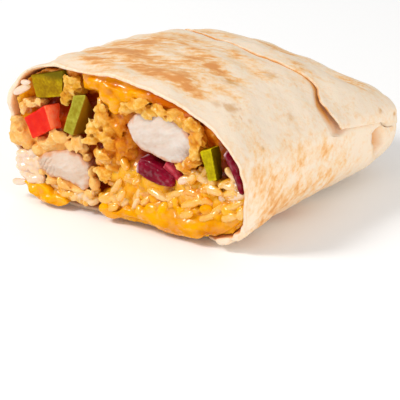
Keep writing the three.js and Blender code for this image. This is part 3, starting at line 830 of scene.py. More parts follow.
def settled(points, depth):
    """Broad rises and dips of the roll's skin."""
    total = np.zeros(len(points))
    weight = np.zeros(len(points))
    for x, deep, z, by in SETTLED:
        near = np.exp(-((points[:, 0] - x) ** 2 + (depth - deep) ** 2 + (points[:, 2] - z) ** 2) / 60)
        total += near * by
        weight += near
    return total / np.maximum(weight, 0.6)


def skin_relief(points, degrees, depth):
    """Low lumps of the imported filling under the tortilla, and its blisters."""
    lumps = 0.4 * waves(points, 19, 3) + 0.1 * waves(points, 7, 4)
    blisters = 0.035 * waves(points * (0.6, 1, 0.6), 2.2, 5, 3)
    x, z = points[:, 0], points[:, 2]
    squeezed = smooth_step(x, 26, 33) * smooth_step(z, 0.5, 2) * (1 - smooth_step(z, 7, 11)) * (
        1 - smooth_step(depth, 8, 18))
    creases = 0.55 * np.sin(2 * math.pi * (z - 0.16 * depth + 0.4 * waves(points, 9, 6)) / 2.3) * squeezed
    still = smooth_step(z, 0, 3)
    return (lumps + blisters) * (0.25 + 0.75 * still) + creases + settled(points, depth)


def pocket(points, depth):
    """Depth of the small pocket where the end fold is tucked in behind the right side."""
    along = (depth - 63.2) * 0.97 + (points[:, 2] - 14.5) * 0.24
    up = (points[:, 2] - 14.5) * 0.97 - (depth - 63.2) * 0.24
    wall = smooth_step(along, -2.6, -2.1) * (1 - smooth_step(along, -1.2, 3.4))
    window = smooth_step(up, -4.4, -3.7) * (1 - smooth_step(up, 2.4, 4.0))
    return wall * window * smooth_step(points[:, 0], 20, 30)


COLUMNS = 430
RIM = [(4.2, -1.8), (2.2, -1.5), (1.0, -1.3), (0.35, -1.15), (0.08, -1.0), (0, -0.8), (0, -0.36), (0.06, -0.12),
       (0.26, -0.01)]


def make_wrap():
    """The rolled tortilla: inner face, cut rim, front layer, the groove before the flap, and the end."""
    angles = even_angles(-90, 270, COLUMNS + 1)
    angles[-1] = 270
    inner = [(62, -2.8), (57, -2.8), (50, -3), (42, -3), (34, -3), (26, -2.8), (19, -2.4), (13, -WRAP), (8, -WRAP)]
    front = np.linspace(0, 1, 86)[1:]
    behind = np.linspace(0, 1, 70)
    rows = len(inner) + len(RIM) + len(front) + 5 + len(behind) - 1

    def grid():
        edge = flap_edge(angles)
        groove = groove_at(angles)
        lip = wrap_point(angles, np.zeros(len(angles)))
        tucked = 5.0 * smooth_step(lip[:, 0], -43, -37) * (1 - smooth_step(lip[:, 0], 22, 32)) * (
            1 - smooth_step(lip[:, 2], 2, 9))
        tucked += (1 - smooth_step(lip[:, 0], -41, -37)) * smooth_step(lip[:, 2], 2, 7) * (
            0.6 * (1 - smooth_step(lip[:, 2], 28, 36)) + 2.2 * (1 - smooth_step(lip[:, 2], 14, 19)))
        uneven = 0.35 * waves(lip, 11, 21) + 0.12 * waves(lip, 3, 22)
        depths, grows, shrinks, outer = [], [], [], []
        for depth, grow in inner + RIM:
            back = (tucked + uneven) * (1 - smooth_step(depth, 0, 22))
            depths.append(depth + back)
            grows.append(np.full(len(angles), grow))
            shrinks.append(1 - 0.25 * smooth_step(depth, 48, 64))
            outer.append(0.0 if grow < -0.5 else 1.0)
        lip_depth = edge - GROOVE_WIDE * groove - 0.75
        for share in front:
            depth = 0.26 + (lip_depth - 0.26) * share
            back = (tucked + uneven) * (1 - smooth_step(depth, 0, 22))
            raised = 0.25 * groove * smooth_step(share, 0.9, 1.0)
            depths.append(depth + back)
            grows.append(-FLAP_SINK * smooth_step(depth, edge - 8, edge + 10) * flap_cover(angles, depth) + raised)
            shrinks.append(1.0)
            outer.append(1.0)
        for extra, sunk in ((0.12, 0.1), (0.22, 0.5), (0.3, 0.9), (0.45, 1.0), (1.0, 1.0)):
            depth = lip_depth + extra * (0.3 + 0.7 * smooth_step(groove, 0, 0.3))
            depths.append(depth)
            pressed = -FLAP_SINK * smooth_step(depth, edge - 8, edge + 10) * flap_cover(angles, depth)
            grows.append(pressed - sunk * GROOVE_DEEP * groove + 0.25 * groove * (1 - sunk))
            shrinks.append(1.0)
            outer.append(1.0)
        start = depths[-1] + 0.3
        for share in behind:
            # rows crowd together where the end turns over
            eased = 1 - (1 - share) ** 2.2 * (1 - 0.35 * share)
            depth = start + (LENGTH - start) * eased
            under = flap_cover(angles, depth) * smooth_step(depth, edge - 8, edge + 10)
            grows.append(-FLAP_SINK * under - GROOVE_DEEP * groove * (1 - smooth_step(depth, edge, edge + 6)))
            depths.append(depth)
            shrinks.append(1.0)
            outer.append(1.0)
        return np.array(depths), np.array(grows), np.array(shrinks), np.array(outer)

    depths, grows, shrinks, outer = grid()
    assert len(depths) == rows + 1, (len(depths), rows)

    def place(column, row):
        degrees, depth, grow, shrink = angles[column], depths[row, column], grows[row, column], shrinks[row]
        flat = wrap_point(degrees, depth, grow, shrink)
        calm = 1 - smooth_step(depth, LENGTH - 4, LENGTH)
        relief = skin_relief(flat, degrees, depth) * calm
        share = np.where(outer[row] > 0.5, 1.0, 0.6)
        sunk = 3.6 * pocket(flat, depth) * outer[row]
        under_layer = (1 - smooth_step(flat[:, 0] + 0.64 * depth, -26, -25.2)) * smooth_step(flat[:, 2], 32, 40)
        sunk += 0.7 * outer[row] * under_layer * (1 - smooth_step(depth, 6, 14))
        return wrap_point(degrees, depth, grow + relief * share - sunk, shrink)

    def lining(column, row):
        inside = np.array([1.0] * (len(inner) + 3) + [0.75, 0.4, 0.12] + [0.0] * (rows + 1 - len(inner) - 6))
        return inside[row]

    def edge(column, row):
        first = len(inner) + len(RIM) + len(front)
        behind_edge = depths[row, column] - flap_edge(angles[column])
        # painted shade: the groove floor darkens towards the flap's edge, more so higher round the roll
        floor = (row >= first + 2) * (1 - smooth_step(behind_edge, 0.5, 2))
        wide = GROOVE_WIDE * groove_at(angles[column]) + 0.75
        shaded = (0.02 + 0.98 * smooth_step(behind_edge, -0.6 * wide, -0.2)) * (0.4 + 0.6 * smooth_step(angles[column], 9, 22))
        fold = floor * shaded * smooth_step(angles[column], 5, 8) * (1 - smooth_step(angles[column], 172, 175))
        rim = np.zeros(rows + 1)
        rim[len(inner) + len(RIM) - 1:len(inner) + len(RIM) + 1] = (0.22, 0.1)
        flat = wrap_point(angles[column], depths[row, column])
        # painted shade in the tuck pocket
        pocket_painted_shade = 0.9 * pocket(flat, depths[row, column]) * outer[row]
        return np.maximum(np.maximum(fold, rim[row]), pocket_painted_shade)

    wrap = rolled_grid("rolled_tortilla", COLUMNS, rows, place, marks={"lining": lining, "edge": edge})
    bake_marks(wrap)
    return wrap


def make_flap():
    """The end flap, a separate sheet folded over the top, lifted a little at its front corner."""
    columns, thick = 230, 1.5
    base = even_angles(FLAP_LOW_ANGLE, 180 - FLAP_LOW_ANGLE, columns + 1)
    along = 1 - (1 - np.linspace(0, 1, 70)) ** 1.8
    turn = [(0.30, 0.97), (0.10, 0.85), (0.0, 0.62), (0.0, 0.38), (0.10, 0.15), (0.30, 0.03)]
    path = [(s, 0.0, 1.0) for s in along[::-3]] + [(0.0, d, f) for d, f in turn] + [(s, 0.0, 0.0) for s in along]
    # each row: share of the way to the end, extra depth at the rounded edge, share of the thickness sunk
    rows = len(path) - 1
    share_of = np.array([p[0] for p in path])
    nudge = np.array([p[1] for p in path])
    sunk_of = np.array([p[2] for p in path])
    nudge = np.where((share_of == 0) & (nudge == 0) & ((sunk_of == 1) | (sunk_of == 0)), 0.6, nudge)

    def place(column, row):
        edge = flap_edge(base[column]) + 0.25 * waves(np.stack([base[column] * 0.8, column * 0, column * 0], -1), 9, 31)
        depth = np.minimum(edge + nudge[row], LENGTH) + share_of[row] * (LENGTH - edge - nudge[row])
        degrees = 90 + (base[column] - 90) * (90 - flap_low(depth)) / (90 - FLAP_LOW_ANGLE)
        flat = wrap_point(degrees, depth)
        side = np.minimum(column, columns - column) * 0.62
        body = np.sqrt(np.clip(1 - (1 - np.clip(side / 0.9, 0, 1)) ** 2, 0.0, 1))
        tip = smooth_step(LENGTH - depth, 0, 12)
        corner = np.exp(-((depth - edge) / 5.0) ** 2 - (np.maximum(degrees - 14, 0) / 16.0) ** 2)
        lift = 0.6 * corner + 0.1 * np.exp(-((depth - edge) / 2.5) ** 2)
        outer = (FLAP_STEP - FLAP_SINK + lift) * tip
        relief = skin_relief(flat, degrees, depth) * (1 - smooth_step(depth, LENGTH - 4, LENGTH))
        thin = 0.5 + 0.5 * smooth_step(depth - edge, 0, 5)
        outer -= 0.5 * (1 - thin) * (1 - corner)
        middle = outer - 0.5 * thick * tip * thin
        grow = middle + (0.5 - sunk_of[row]) * thick * tip * body * thin + relief
        sheet = wrap_point(degrees, depth, grow)
        sheet[:, 1] += (0.25 - 0.5 * sunk_of[row]) * smooth_step(share_of[row], 0.4, 0.8)
        return sheet

    def edge_mark(column, row):
        # painted shade: a darker line along the flap's rounded front edge and at its two sides, where it meets the wrap
        near = np.where(share_of[row] == 0, 1.0 - 0.6 * np.abs(sunk_of[row] - 0.6), 0.0)
        broken = 0.5 + 0.6 * waves(np.stack([base[column] * 1.0, column * 0.0, column * 0.0], -1), 7, 33)
        rolled = np.where(np.minimum(column, columns - column) < 2, 0.5, 0.0)
        return np.maximum(near * np.clip(broken, 0, 1), rolled) * (sunk_of[row] > 0.05)

    def lining(column, row):
        return 0.6 * (sunk_of[row] == 1)

    flap = rolled_grid("end_flap", columns, rows, place, marks={"edge": edge_mark, "lining": lining})
    bake_marks(flap)
    return flap


# ---------------------------------------------------------------- filling

FACE_STEPS = [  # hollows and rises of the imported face: x, z, reach, how much deeper
    (-28.5, 32.6, 3.4, 2.6), (-26.2, 30.4, 3, 2.6), (-14.6, 33.6, 3.4, 3), (-13.6, 28.6, 3.4, 2.8),
    (-14.6, 21.2, 2.6, 2.6), (-15.4, 15.4, 2.2, 2.4), (-16.4, 10, 2.6, 2.4), (-16.2, 3.4, 3, 2), (-19.6, 24.6, 2.4, 2),
    (-2.4, 33, 3, 1.6), (5.6, 21, 3.6, 2.8), (18.6, 20.6, 3.4, 2), (12.8, 15, 2.2, 1.6), (0.6, 8.6, 1.4, 1),
    (33.4, 26.4, 3.4, 2.4), (33.4, 20.6, 3.4, 2.4), (30, 18, 2.4, 1.2), (11.8, 38, 3, 1), (-5.2, 19, 2, 2), (-11.5, 10.6, 2.4, 5.6), (-12.4, 17.2, 2.2, 4.6), (-13.4, 22.4, 1.6, 2.4),
    (-27, 42.6, 3.4, -3), (-33, 41.2, 3, -2.6), (-20.5, 43, 2.6, -2.4), (-40.8, 31, 3.6, -3.6), (-41.4, 24, 4, -3.4), (-41.4, 14, 4, -2.4), (-38, 38, 3.4, -3), (-39, 34, 3, -2),
    (-33.6, 36, 3, -1.4), (27, 33, 4, -1.4), (36, 27.6, 2.6, -1),
]


def make_core():
    """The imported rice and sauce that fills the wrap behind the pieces."""
    columns, stations = 84, [4.4, 4.4, 5.2, 8, 14, 22, 30, 38, 46, 54, 57, 57]
    angles = even_angles(-90, 270, columns + 1)

    def place(column, row):
        depth = np.array(stations)[row]
        inset = np.where((row == 0) | (row == 11), 0.0, 1.0)
        point = wrap_point(angles[column], depth, -WRAP + 0.3, 1 - 0.25 * smooth_step(depth, 48, 64))
        middle = np.stack([np.full(len(row), 2.0), CUT_Y + depth, np.full(len(row), 21.0)], -1)
        return middle + (point - middle) * inset[:, None]

    core = rolled_grid("packed_core", columns, len(stations) - 1, place)
    fuse(core, 0.6)
    points = points_of(core)
    face = 1 - smooth_step(points[:, 1] - CUT_Y, 6.4, 9)
    saucy = smooth_step(points[:, 0], -14, -10) * (1 - smooth_step(points[:, 2], 17, 22))
    step = -3.2 * saucy
    for x, z, reach, deeper in FACE_STEPS:
        step += deeper * np.exp(-((points[:, 0] - x) ** 2 + (points[:, 2] - z) ** 2) / reach ** 2)
    points[:, 1] += face * step
    move_points(core, points)
    roughen(core, 3.4, 1.8)
    roughen(core, 1.4, 0.5)
    keep_inside(core)
    points = points_of(core)
    left = 1 - smooth_step(points[:, 0], -38, -34)
    mark(core, "saucy", np.maximum(smooth_step(points[:, 0], -14, -10) * (1 - smooth_step(points[:, 2], 17, 22)),
                                   0.8 * left))
    mark_ridges(core, gain=0.9)
    return core


GRAINS = [  # both ends on the cut face (x, z, x, z), depth, width, stain
    (-5.2, 13.1, -3.0, 15.8, 1.2, 2.9, 0.75),
    (-3.0, 10.9, 1.1, 14.0, 1.6, 3, 0.8),
    (-5.7, 7.3, -3.4, 11.1, 0.6, 2.5, 0.65),
    (-4.3, 5.8, -1.8, 8.0, 0.2, 2.7, 0.45),
    (1.3, 9.0, 2.8, 13.1, 0.8, 2.5, 0.5),
    (0.1, 4.6, 2.5, 9.6, -0.2, 2.4, 0.4),
    (5.6, 12.8, 12.3, 11.4, -0.4, 2.7, 0.5),
    (13.6, 12.6, 19.5, 14.7, 0.6, 2.4, 0.6),
    (17.2, 17.7, 20.9, 19.4, -0.2, 2.3, 0.15),
    (21.1, 21.4, 27.1, 18.9, 0.4, 3, 0.35),
    (24.8, 17.4, 31.8, 17.5, -0.6, 3.1, 0.55),
    (25.1, 14.1, 28.4, 12.6, 0.2, 2.6, 0.9),
    (17.8, 10.4, 24.9, 13.9, -0.8, 3, 0.7),
    (17.1, 7.8, 22.5, 10.1, -1.6, 2.9, 0.75),
    (11.3, 5.7, 12.5, 9.9, -1, 2.8, 0.9),
    (24.9, 8.4, 30.7, 11.3, -1.6, 2.7, 0.7),
    (34.0, 16.4, 39.4, 18.6, 0.0, 3.4, 0.2),
    (35.8, 18.4, 36.9, 21.1, 0.8, 2.2, 0),
    (30.4, 14.6, 34.3, 18.2, 1.2, 2.8, 0.25),
    (32.7, 12.4, 38.7, 15.9, -0.4, 3.1, 0.6),
    (38.1, 10.9, 39.3, 14.5, -0.6, 2.8, 0.6),
    (32.2, 9.6, 37.3, 12.1, -1.2, 2.9, 0.65),
    (3.1, 7.7, 5.8, 10.2, 0.2, 2.5, 0.6),
    (6.1, 7.1, 10.7, 10.1, -0.4, 2.8, 0.75),
    (12.4, 10.5, 15.7, 12.8, 0.4, 2.5, 0.55),
    (12.6, 8.4, 15.3, 11.2, 0, 2.6, 0.8),
    (28.9, 11.0, 32.2, 14.0, -0.4, 2.6, 0.7),
    (-12.2, 5.8, -8.8, 8.2, 0.4, 2.7, 0.6),
    (-8.2, 8.4, -3.9, 13.8, 0.2, 2.5, 0.55),
    (-7.1, 14.4, -3.5, 17.6, 1.4, 3, 0.75),
    (-4.8, 7.1, -2.6, 10.8, -0.2, 2.5, 0.5),
    (-10.5, 4.6, -7.1, 7.8, -0.2, 2.8, 0.6),
    (-20.5, 4.3, -17.8, 7.1, 0.8, 2.5, 0.3),
    (-18.3, 3.7, -14.5, 7.7, 0.4, 2.5, 0.25),
    (-23.2, 6.0, -20.3, 7.6, 1.4, 2.4, 0.3),
    (-23.0, 3.9, -20.2, 5.8, 0.4, 2.5, 0.45),
    (-30.8, 6.6, -24.0, 6.0, 0.8, 3.4, 0.45),
    (-30.9, 7.9, -28.6, 6.6, 1.4, 2.4, 0.3),
    (-44.2, 4.7, -38.7, 6.0, 0.2, 2.1, 0),
    (-38.3, 37.0, -35.0, 37.6, -0.1, 1.8, 0),
    (-40.5, 33.4, -35.6, 36.2, -0.7, 2.6, 0.05),
    (-9.0, 3.5, -4.9, 5.6, -1, 2.7, 0.7),
    (-1.9, 4.3, 1.4, 6.3, -0.8, 2.6, 0.75),
    (-16.4, 3.6, -13.0, 5.8, 0.6, 2.5, 0.4),
    (-27.9, 4.0, -23.4, 5.9, 0.8, 2.6, 0.6),
    (-26.8, 3.9, -21.6, 5.9, 0.4, 2.9, 0.75),
]
RICE_FIELDS = [  # x range, z range, columns, rows, stain
    ((-13, 12), (6, 20.5), 8, 6, 0.75), ((12, 38), (10, 20.5), 9, 4, 0.75), ((-30, -13), (3.4, 8), 6, 2, 0.6),
    ((14, 32), (18, 24), 5, 2, 0.7), ((31, 39), (15, 24), 3, 3, 0.45),
]


def make_rice():
    """Grains pressed into the face of the filling: one grain, modelled once and copied."""
    clear_selection()
    bpy.ops.mesh.primitive_uv_sphere_add(segments=10, ring_count=8, radius=1)
    grain = bpy.context.object
    grain.name = "rice_grain"
    body = points_of(grain)
    blunt = np.sqrt((1 - np.abs(body[:, 2]) ** 3.0) / np.maximum(1 - body[:, 2] ** 2, 1e-3))
    body[:, :2] *= (np.minimum(blunt, 1.5) * (1 - 0.1 * body[:, 2]))[:, None]
    body[:, 0] += 0.2 * (1 - body[:, 2] ** 2)
    body[:, 1] *= 0.88
    move_points(grain, body)
    bpy.ops.object.shade_smooth()
    copies = []

    def lay(middle, way, length, width, stain):
        copy = grain.copy()
        copy.data = grain.data.copy()
        bpy.context.collection.objects.link(copy)
        turn = Vector(way).to_track_quat("Z", "X").to_matrix().to_4x4()
        spin = Matrix.Rotation(draw.uniform(0, 2 * math.pi), 4, "Z")
        size = Matrix.Diagonal((width / 2, width / 2, length / 2, 1))
        copy.data.transform(Matrix.Translation(middle) @ turn @ spin @ size)
        back = points_of(copy)[:, 1]
        back = (back - back.min()) / (back.max() - back.min())
        mark(copy, "stain", stain - 0.12 + 0.66 * back ** 1.3)
        copies.append(copy)

    taken = []
    for ax, az, bx, bz, depth, width, stain in GRAINS:
        start, end = Vector((ax, 0, az)), Vector((bx, 0, bz))
        way = (end - start)
        length = max(way.length * 1.15, width * 1.5)
        way.y = draw.uniform(-0.18, 0.18) * length
        middle = (start + end) / 2
        middle.y = CUT_Y + depth + width / 2
        taken.append((middle.x, middle.z))
        lay(middle, way, length, width * 1.02, stain)
    for (x0, x1), (z0, z1), columns, rows, stain in RICE_FIELDS:
        for row in range(rows):
            for column in range(columns):
                x = x0 + (x1 - x0) * (column + draw.uniform(0, 1)) / columns
                z = z0 + (z1 - z0) * (row + draw.uniform(0, 1)) / rows
                deep = draw.uniform(0.2, 1.8)
                way = Vector((draw.uniform(-1, 1), draw.uniform(-0.5, 0.5), draw.uniform(-1, 1)))
                if any(inside_outline(x, z, outline) for outline in NO_RICE):
                    continue
                if any(math.hypot(x - a, z - b) < 1.8 for a, b in taken):
                    deep += 1.0
                lay(Vector((x, CUT_Y + deep + 1, z)), way, draw.uniform(4.6, 6.4), draw.uniform(2.3, 2.9),
                    min(1, max(0, stain + draw.uniform(-0.25, 0.25))))
    bpy.data.objects.remove(grain)
    clear_selection()
    for copy in copies:
        copy.select_set(True)
    bpy.context.view_layer.objects.active = copies[0]
    bpy.ops.object.join()
    rice = bpy.context.object
    rice.name = "rice_grains"
    # sticky grains run together where they touch, each keeping its own stain
    grains, stains = points_of(rice), np.empty(len(rice.data.vertices))
    rice.data.attributes["stain"].data.foreach_get("value", stains)
    nearest = KDTree(len(grains))
    for number, place in enumerate(grains):
        nearest.insert(place, number)
    nearest.balance()
    fuse(rice, 0.22, 1)
    mark(rice, "stain", [stains[nearest.find(place)[1]] for place in points_of(rice)])
    roughen(rice, 3.4, 0.2)
    return rice


WHITE_RICE = [  # x, z, depth, half length, half width, tilt
    (-39.8, 14.4, 0.4, 2.6, 1.5, -0.2), (-41.0, 12.2, 0.6, 1.8, 1.4, 0.3), (-37.6, 12.6, 0.5, 2.8, 1.5, 0.15),
    (-39.8, 10.4, 0.1, 2.6, 1.4, -0.1), (-36.2, 10.2, 0.6, 2.6, 1.4, 0.5), (-38.8, 8.2, 0.3, 2.6, 1.4, 0.3),
    (-36.0, 7.2, 0, 2.8, 1.4, -0.3), (-33.8, 8.6, 0.8, 2.1, 1.2, 0.8), (-33.8, 6.4, 0.5, 2.4, 1.3, 0.6),
    (-36.6, 15.2, 1.0, 2.4, 1.4, -0.5), (-38.6, 7.2, 1.6, 2.6, 1.6, 0), (-38, 12, 2.2, 3.6, 3.6, 0),
    (-36, 8.6, 2.2, 3, 2.4, 0), (-34.6, 12.4, 1.2, 2.4, 2.4, 0),
]


def make_white_rice():
    """Plain rice at the left that has stuck together, its grains still just showing."""
    clump = add_lumps("white_rice", [(x, z, depth + 0.8, long, 1.3, wide, tilt)
                                     for x, z, depth, long, wide, tilt in WHITE_RICE])
    fuse(clump, 0.26, 2)
    roughen(clump, 4, 0.25)
    keep_inside(clump)
    mark(clump, "stain", 0.04 + 0.16 * smooth_step(points_of(clump)[:, 0], -37, -32))
    return clump


MEAT_CENTRE = [(-1.1, 31.2), (1.2, 34.4), (4, 35.6), (7.5, 35.8), (9.5, 36.8), (12.4, 37.3), (15, 36.6), (17.4, 35),
               (20.4, 33), (22.2, 31), (22.7, 28.2), (20.8, 25), (17.8, 23.4), (13.4, 22.7), (9.7, 23.3), (4.2, 24.6),
               (1.4, 26.4), (0, 28.8)]
MEAT_LEFT = [(-34.8, 13.4), (-31.4, 16.3), (-27, 18), (-22, 19.4), (-18.6, 18.5), (-15.8, 15.6), (-14.9, 12.3),
             (-15.9, 8.9), (-17.7, 7.4), (-19.8, 8.4), (-22.6, 9.1), (-26.7, 9.5), (-30, 9.3), (-33.6, 11.2)]
# knobs of batter: x, z, depth, half width, half height
ARC_KNOBS = [
    (2.6, 37.9, 0.8, 4.6, 2.3), (-0.6, 36.4, 1.4, 2.4, 1.8), (6.8, 36.7, 1.0, 2.1, 1.9), (10.8, 38.4, 1.4, 3.6, 1.7),
    (9.6, 36.9, 1.8, 2.2, 1.3), (15.0, 38.0, 1.6, 3.4, 1.8), (18.9, 37.0, 2.4, 3.6, 2.3), (21.6, 35.4, 1.6, 2.8, 2.1),
    (23.7, 33.4, 1.6, 1.8, 3.0), (22.8, 31.0, 1.6, 1.5, 2.3), (23.2, 28.2, 1.4, 1.7, 2.2), (21.6, 24.6, 1.6, 2.4, 1.6),
    (18.6, 22.2, 1.8, 3.2, 1.4), (24.4, 30.8, 2.8, 1.6, 2.8),
]
BATTER_KNOBS = [
    (-9.4, 34.6, 1.4, 2.0, 2.0), (-9.9, 31.8, 1.0, 2.4, 2.4), (-8.0, 29.4, 1.6, 2.6, 2.6), (-11.9, 28.6, 1.0, 2.7, 2.0),
    (-5.6, 30.6, 2.6, 3.8, 3.0), (-13.4, 24.3, 0.8, 2.6, 1.4), (-9.2, 25.6, 1.2, 2.6, 2.4), (-10.2, 20.5, 1.0, 3.3, 1.6),
    (-7.2, 22.8, 1.8, 2.6, 2.8), (-6.6, 17.4, 1.8, 2.4, 2.4), (-9.6, 14.9, 0.9, 2.6, 1.7), (-4.4, 24.0, 3.0, 2.9, 3.6),
    (-6.0, 18.7, 3.2, 2.7, 2.6),
]
LEFT_KNOBS = [
    (-31.6, 19.4, 1.4, 3.4, 1.8), (-25.7, 22.2, 0.8, 3.3, 2.0), (-28.6, 20.6, 1.2, 2.2, 1.5), (-19.2, 22.0, 1.0, 2.4, 2.2),
    (-22.0, 20.6, 1.4, 2.4, 1.4), (-17.8, 20.2, 1.8, 1.8, 1.4), (-16.8, 17.6, 2.0, 1.3, 1.5), (-15.2, 13.4, 1.8, 1.2, 2.0),
    (-14.0, 10.0, 1.2, 1.5, 2.2), (-16.0, 6.8, 1.2, 1.9, 1.4), (-20.2, 7.0, 1.2, 2.2, 1.2), (-25.0, 7.8, 1.2, 2.6, 1.1),
    (-29.5, 8.2, 1.2, 2.4, 1.2), (-33.4, 9.8, 1.8, 1.5, 1.2), (-35.2, 13.0, 2.2, 1.4, 1.8), (-34.6, 16.4, 1.6, 2.5, 1.9),
]
FAR_LEFT_KNOBS = [
    (-42.2, 22.2, 1.4, 1.9, 2.4), (-41.0, 19.6, 1.2, 2.8, 3.0), (-38.4, 18.8, 1.2, 2.1, 3.4), (-41.4, 24.8, 1.6, 2.2, 1.1),
]
SOAKED = [  # x, z, reach, how far sauce has soaked in
    (-2.6, 26, 4, 1), (-3.4, 30.6, 4, 1), (-3.4, 20.6, 3.6, 1), (-1.4, 33.4, 2.4, 1), (-5, 18, 2.4, 1),
    (-10.6, 17.6, 2, 1), (-13.2, 21.8, 1.6, 1), (23, 32, 3, 0.8), (20, 24, 3.6, 0.95), (-6.2, 22, 3, 0.8),
    (14, 39.4, 2.4, 0.5), (19, 38.4, 2.4, 0.5),
]
CRUMB_TOP = [
    (-22.2, 40.4, 1.6, 1.6, 1.4), (-19.8, 40.8, 2.0, 1.9, 1.4), (-21.1, 38.4, 1.6, 2.5, 1.7), (-22.4, 35.9, 1.4, 1.8, 2.0),
    (-22.8, 33.8, 1.4, 1.3, 1.2), (-18.8, 38.3, 2.4, 1.3, 1.4), (-20.6, 36.2, 2.2, 2.0, 2.0), (-18.4, 40.4, 2.2, 1.6, 1.8),
]
CRUMB_LEFT = [
    (-37.8, 29.4, 1.0, 1.2, 1.7), (-35.4, 30.8, 0.9, 1.9, 1.2), (-32.2, 32.2, 1.1, 1.6, 0.9), (-36.4, 31.6, 1.2, 1.3, 0.8),
]
NO_RICE = [
    MEAT_CENTRE, MEAT_LEFT, [(-14.4, 7.8), (-14.2, 13.8), (-9.2, 13.8), (-9, 9.4), (-11, 7.8)],
    [(0.2, 16.8), (2, 22.6), (12, 23.4), (17.6, 20), (16.4, 14.8), (8.8, 13.8)],
    [(25, 31), (33, 31), (33, 21), (27, 19.6)], [(32.6, 31), (36.8, 29.4), (40.4, 18), (37.6, 18)],
]


def oval(x, z, wide, high, tilt, count=28):
    turn = math.radians(tilt)
    return [(x + wide * math.cos(a) * math.cos(turn) - high * math.sin(a) * math.sin(turn),
             z + wide * math.cos(a) * math.sin(turn) + high * math.sin(a) * math.cos(turn))
            for a in (2 * math.pi * i / count for i in range(count))]


def bent_flake(seed):
    """A flake of batter: thin, cupped and crinkled, with a torn rim."""
    clear_selection()
    bpy.ops.mesh.primitive_ico_sphere_add(subdivisions=4, radius=1)
    flake = bpy.context.object
    body = points_of(flake)
    turn = np.arctan2(body[:, 1], body[:, 0])
    out = np.hypot(body[:, 0], body[:, 1])
    torn = 1 + out ** 2 * (0.12 * np.sin(3 * turn + seed) + 0.08 * np.sin(8 * turn + 2 * seed)
                           + 0.06 * np.sin(15 * turn + seed))
    body[:, 0] *= torn
    body[:, 1] *= torn
    body[:, 2] *= 0.34 - 0.1 * out
    body[:, 2] += (-0.32 * body[:, 0] ** 2 - 0.22 * body[:, 1] ** 2 + 0.09 * np.sin(5 * body[:, 0] + seed)
                   + 0.1 * np.sin(6 * body[:, 1] + 2 * seed + 2 * body[:, 0]))
    move_points(flake, body)
    return flake


def press_flakes(piece, places):
    """Presses bent flakes (x, z, depth, half width, half height, spin, tilt, sway) onto a piece."""
    kinds = [bent_flake(seed) for seed in (0.3, 1.7, 3.1, 4.6, 5.5)]
    copies = [piece]
    for number, (x, z, depth, wide, high, spin, tilt, sway) in enumerate(places):
        copy = kinds[number % len(kinds)].copy()
        copy.data = copy.data.copy()
        bpy.context.collection.objects.link(copy)
        copy.data.transform(
            Matrix.Translation((x, CUT_Y + depth, z)) @ Matrix.Rotation(spin, 4, "Y")
            @ Matrix.Rotation(tilt, 4, "X") @ Matrix.Rotation(sway, 4, "Z") @ Matrix.Rotation(math.pi / 2, 4, "X")
            @ Matrix.Diagonal((wide, high, (wide + high) / 2, 1)))
        copies.append(copy)
    for flake in kinds:
        bpy.data.objects.remove(flake)
    clear_selection()
    for copy in copies:
        copy.select_set(True)
    bpy.context.view_layer.objects.active = piece
    bpy.ops.object.join()
    return piece


def lobes(knobs, size=1.15, lift=0.9):
    """A flake over each knob, about as wide and high as it, leaning a little any way."""
    return [(x, z, depth - lift + draw.uniform(-0.3, 0.3), size * wide, size * high, draw.uniform(-0.5, 0.5),
             draw.uniform(-0.5, 0.5), draw.uniform(-0.5, 0.5)) for x, z, depth, wide, high in knobs]


def torn_edge(line, size, depth):
    """Steeper flakes along a line of places (x, z), for a ragged edge."""
    return [(x, z, depth + draw.uniform(-0.4, 0.6), size * draw.uniform(0.7, 1.2), size * draw.uniform(0.5, 1),
             draw.uniform(0, 6.3), draw.uniform(0.3, 1.0) * draw.choice((-1, 1)), draw.uniform(-0.8, 0.8))
            for x, z in line]


def under(knobs, by=0.85, sink=0.6):
    """The round bodies of the knobs."""
    return [(x, z, depth + sink, wide * by, 1.9, high * by, 0) for x, z, depth, wide, high in knobs]


def make_crust(name, body, front, back, lumps, flakes, voxel=0.27, crisp=1.0):
    """Fried batter: a strip running inward, with knobs and flakes pressed onto its face."""
    crust = slab(name, body, front, back, 0.8) if body else name
    crust = press_flakes(add_lumps(crust, lumps), flakes)
    fuse(crust, voxel, round(6 - 4 * crisp))
    plain = points_of(crust)
    wet = np.zeros(len(plain))
    for x, z, reach, share in SOAKED:
        off = np.hypot(plain[:, 0] - x, plain[:, 2] - z) / reach
        wet = np.maximum(wet, share * (1 - smooth_step(off, 0.5, 1.3)))
    roughen(crust, 3.6, 0.5 * crisp, crisp=True)
    roughen(crust, 1.6, 0.22)
    roughen(crust, 0.7, 0.12, crisp=True)
    move_points(crust, plain + (points_of(crust) - plain) * (1 - 0.7 * wet)[:, None])
    keep_inside(crust)
    mark(crust, "soaked", wet)
    mark_ridges(crust, gain=0.6, reach=14)
    return crust


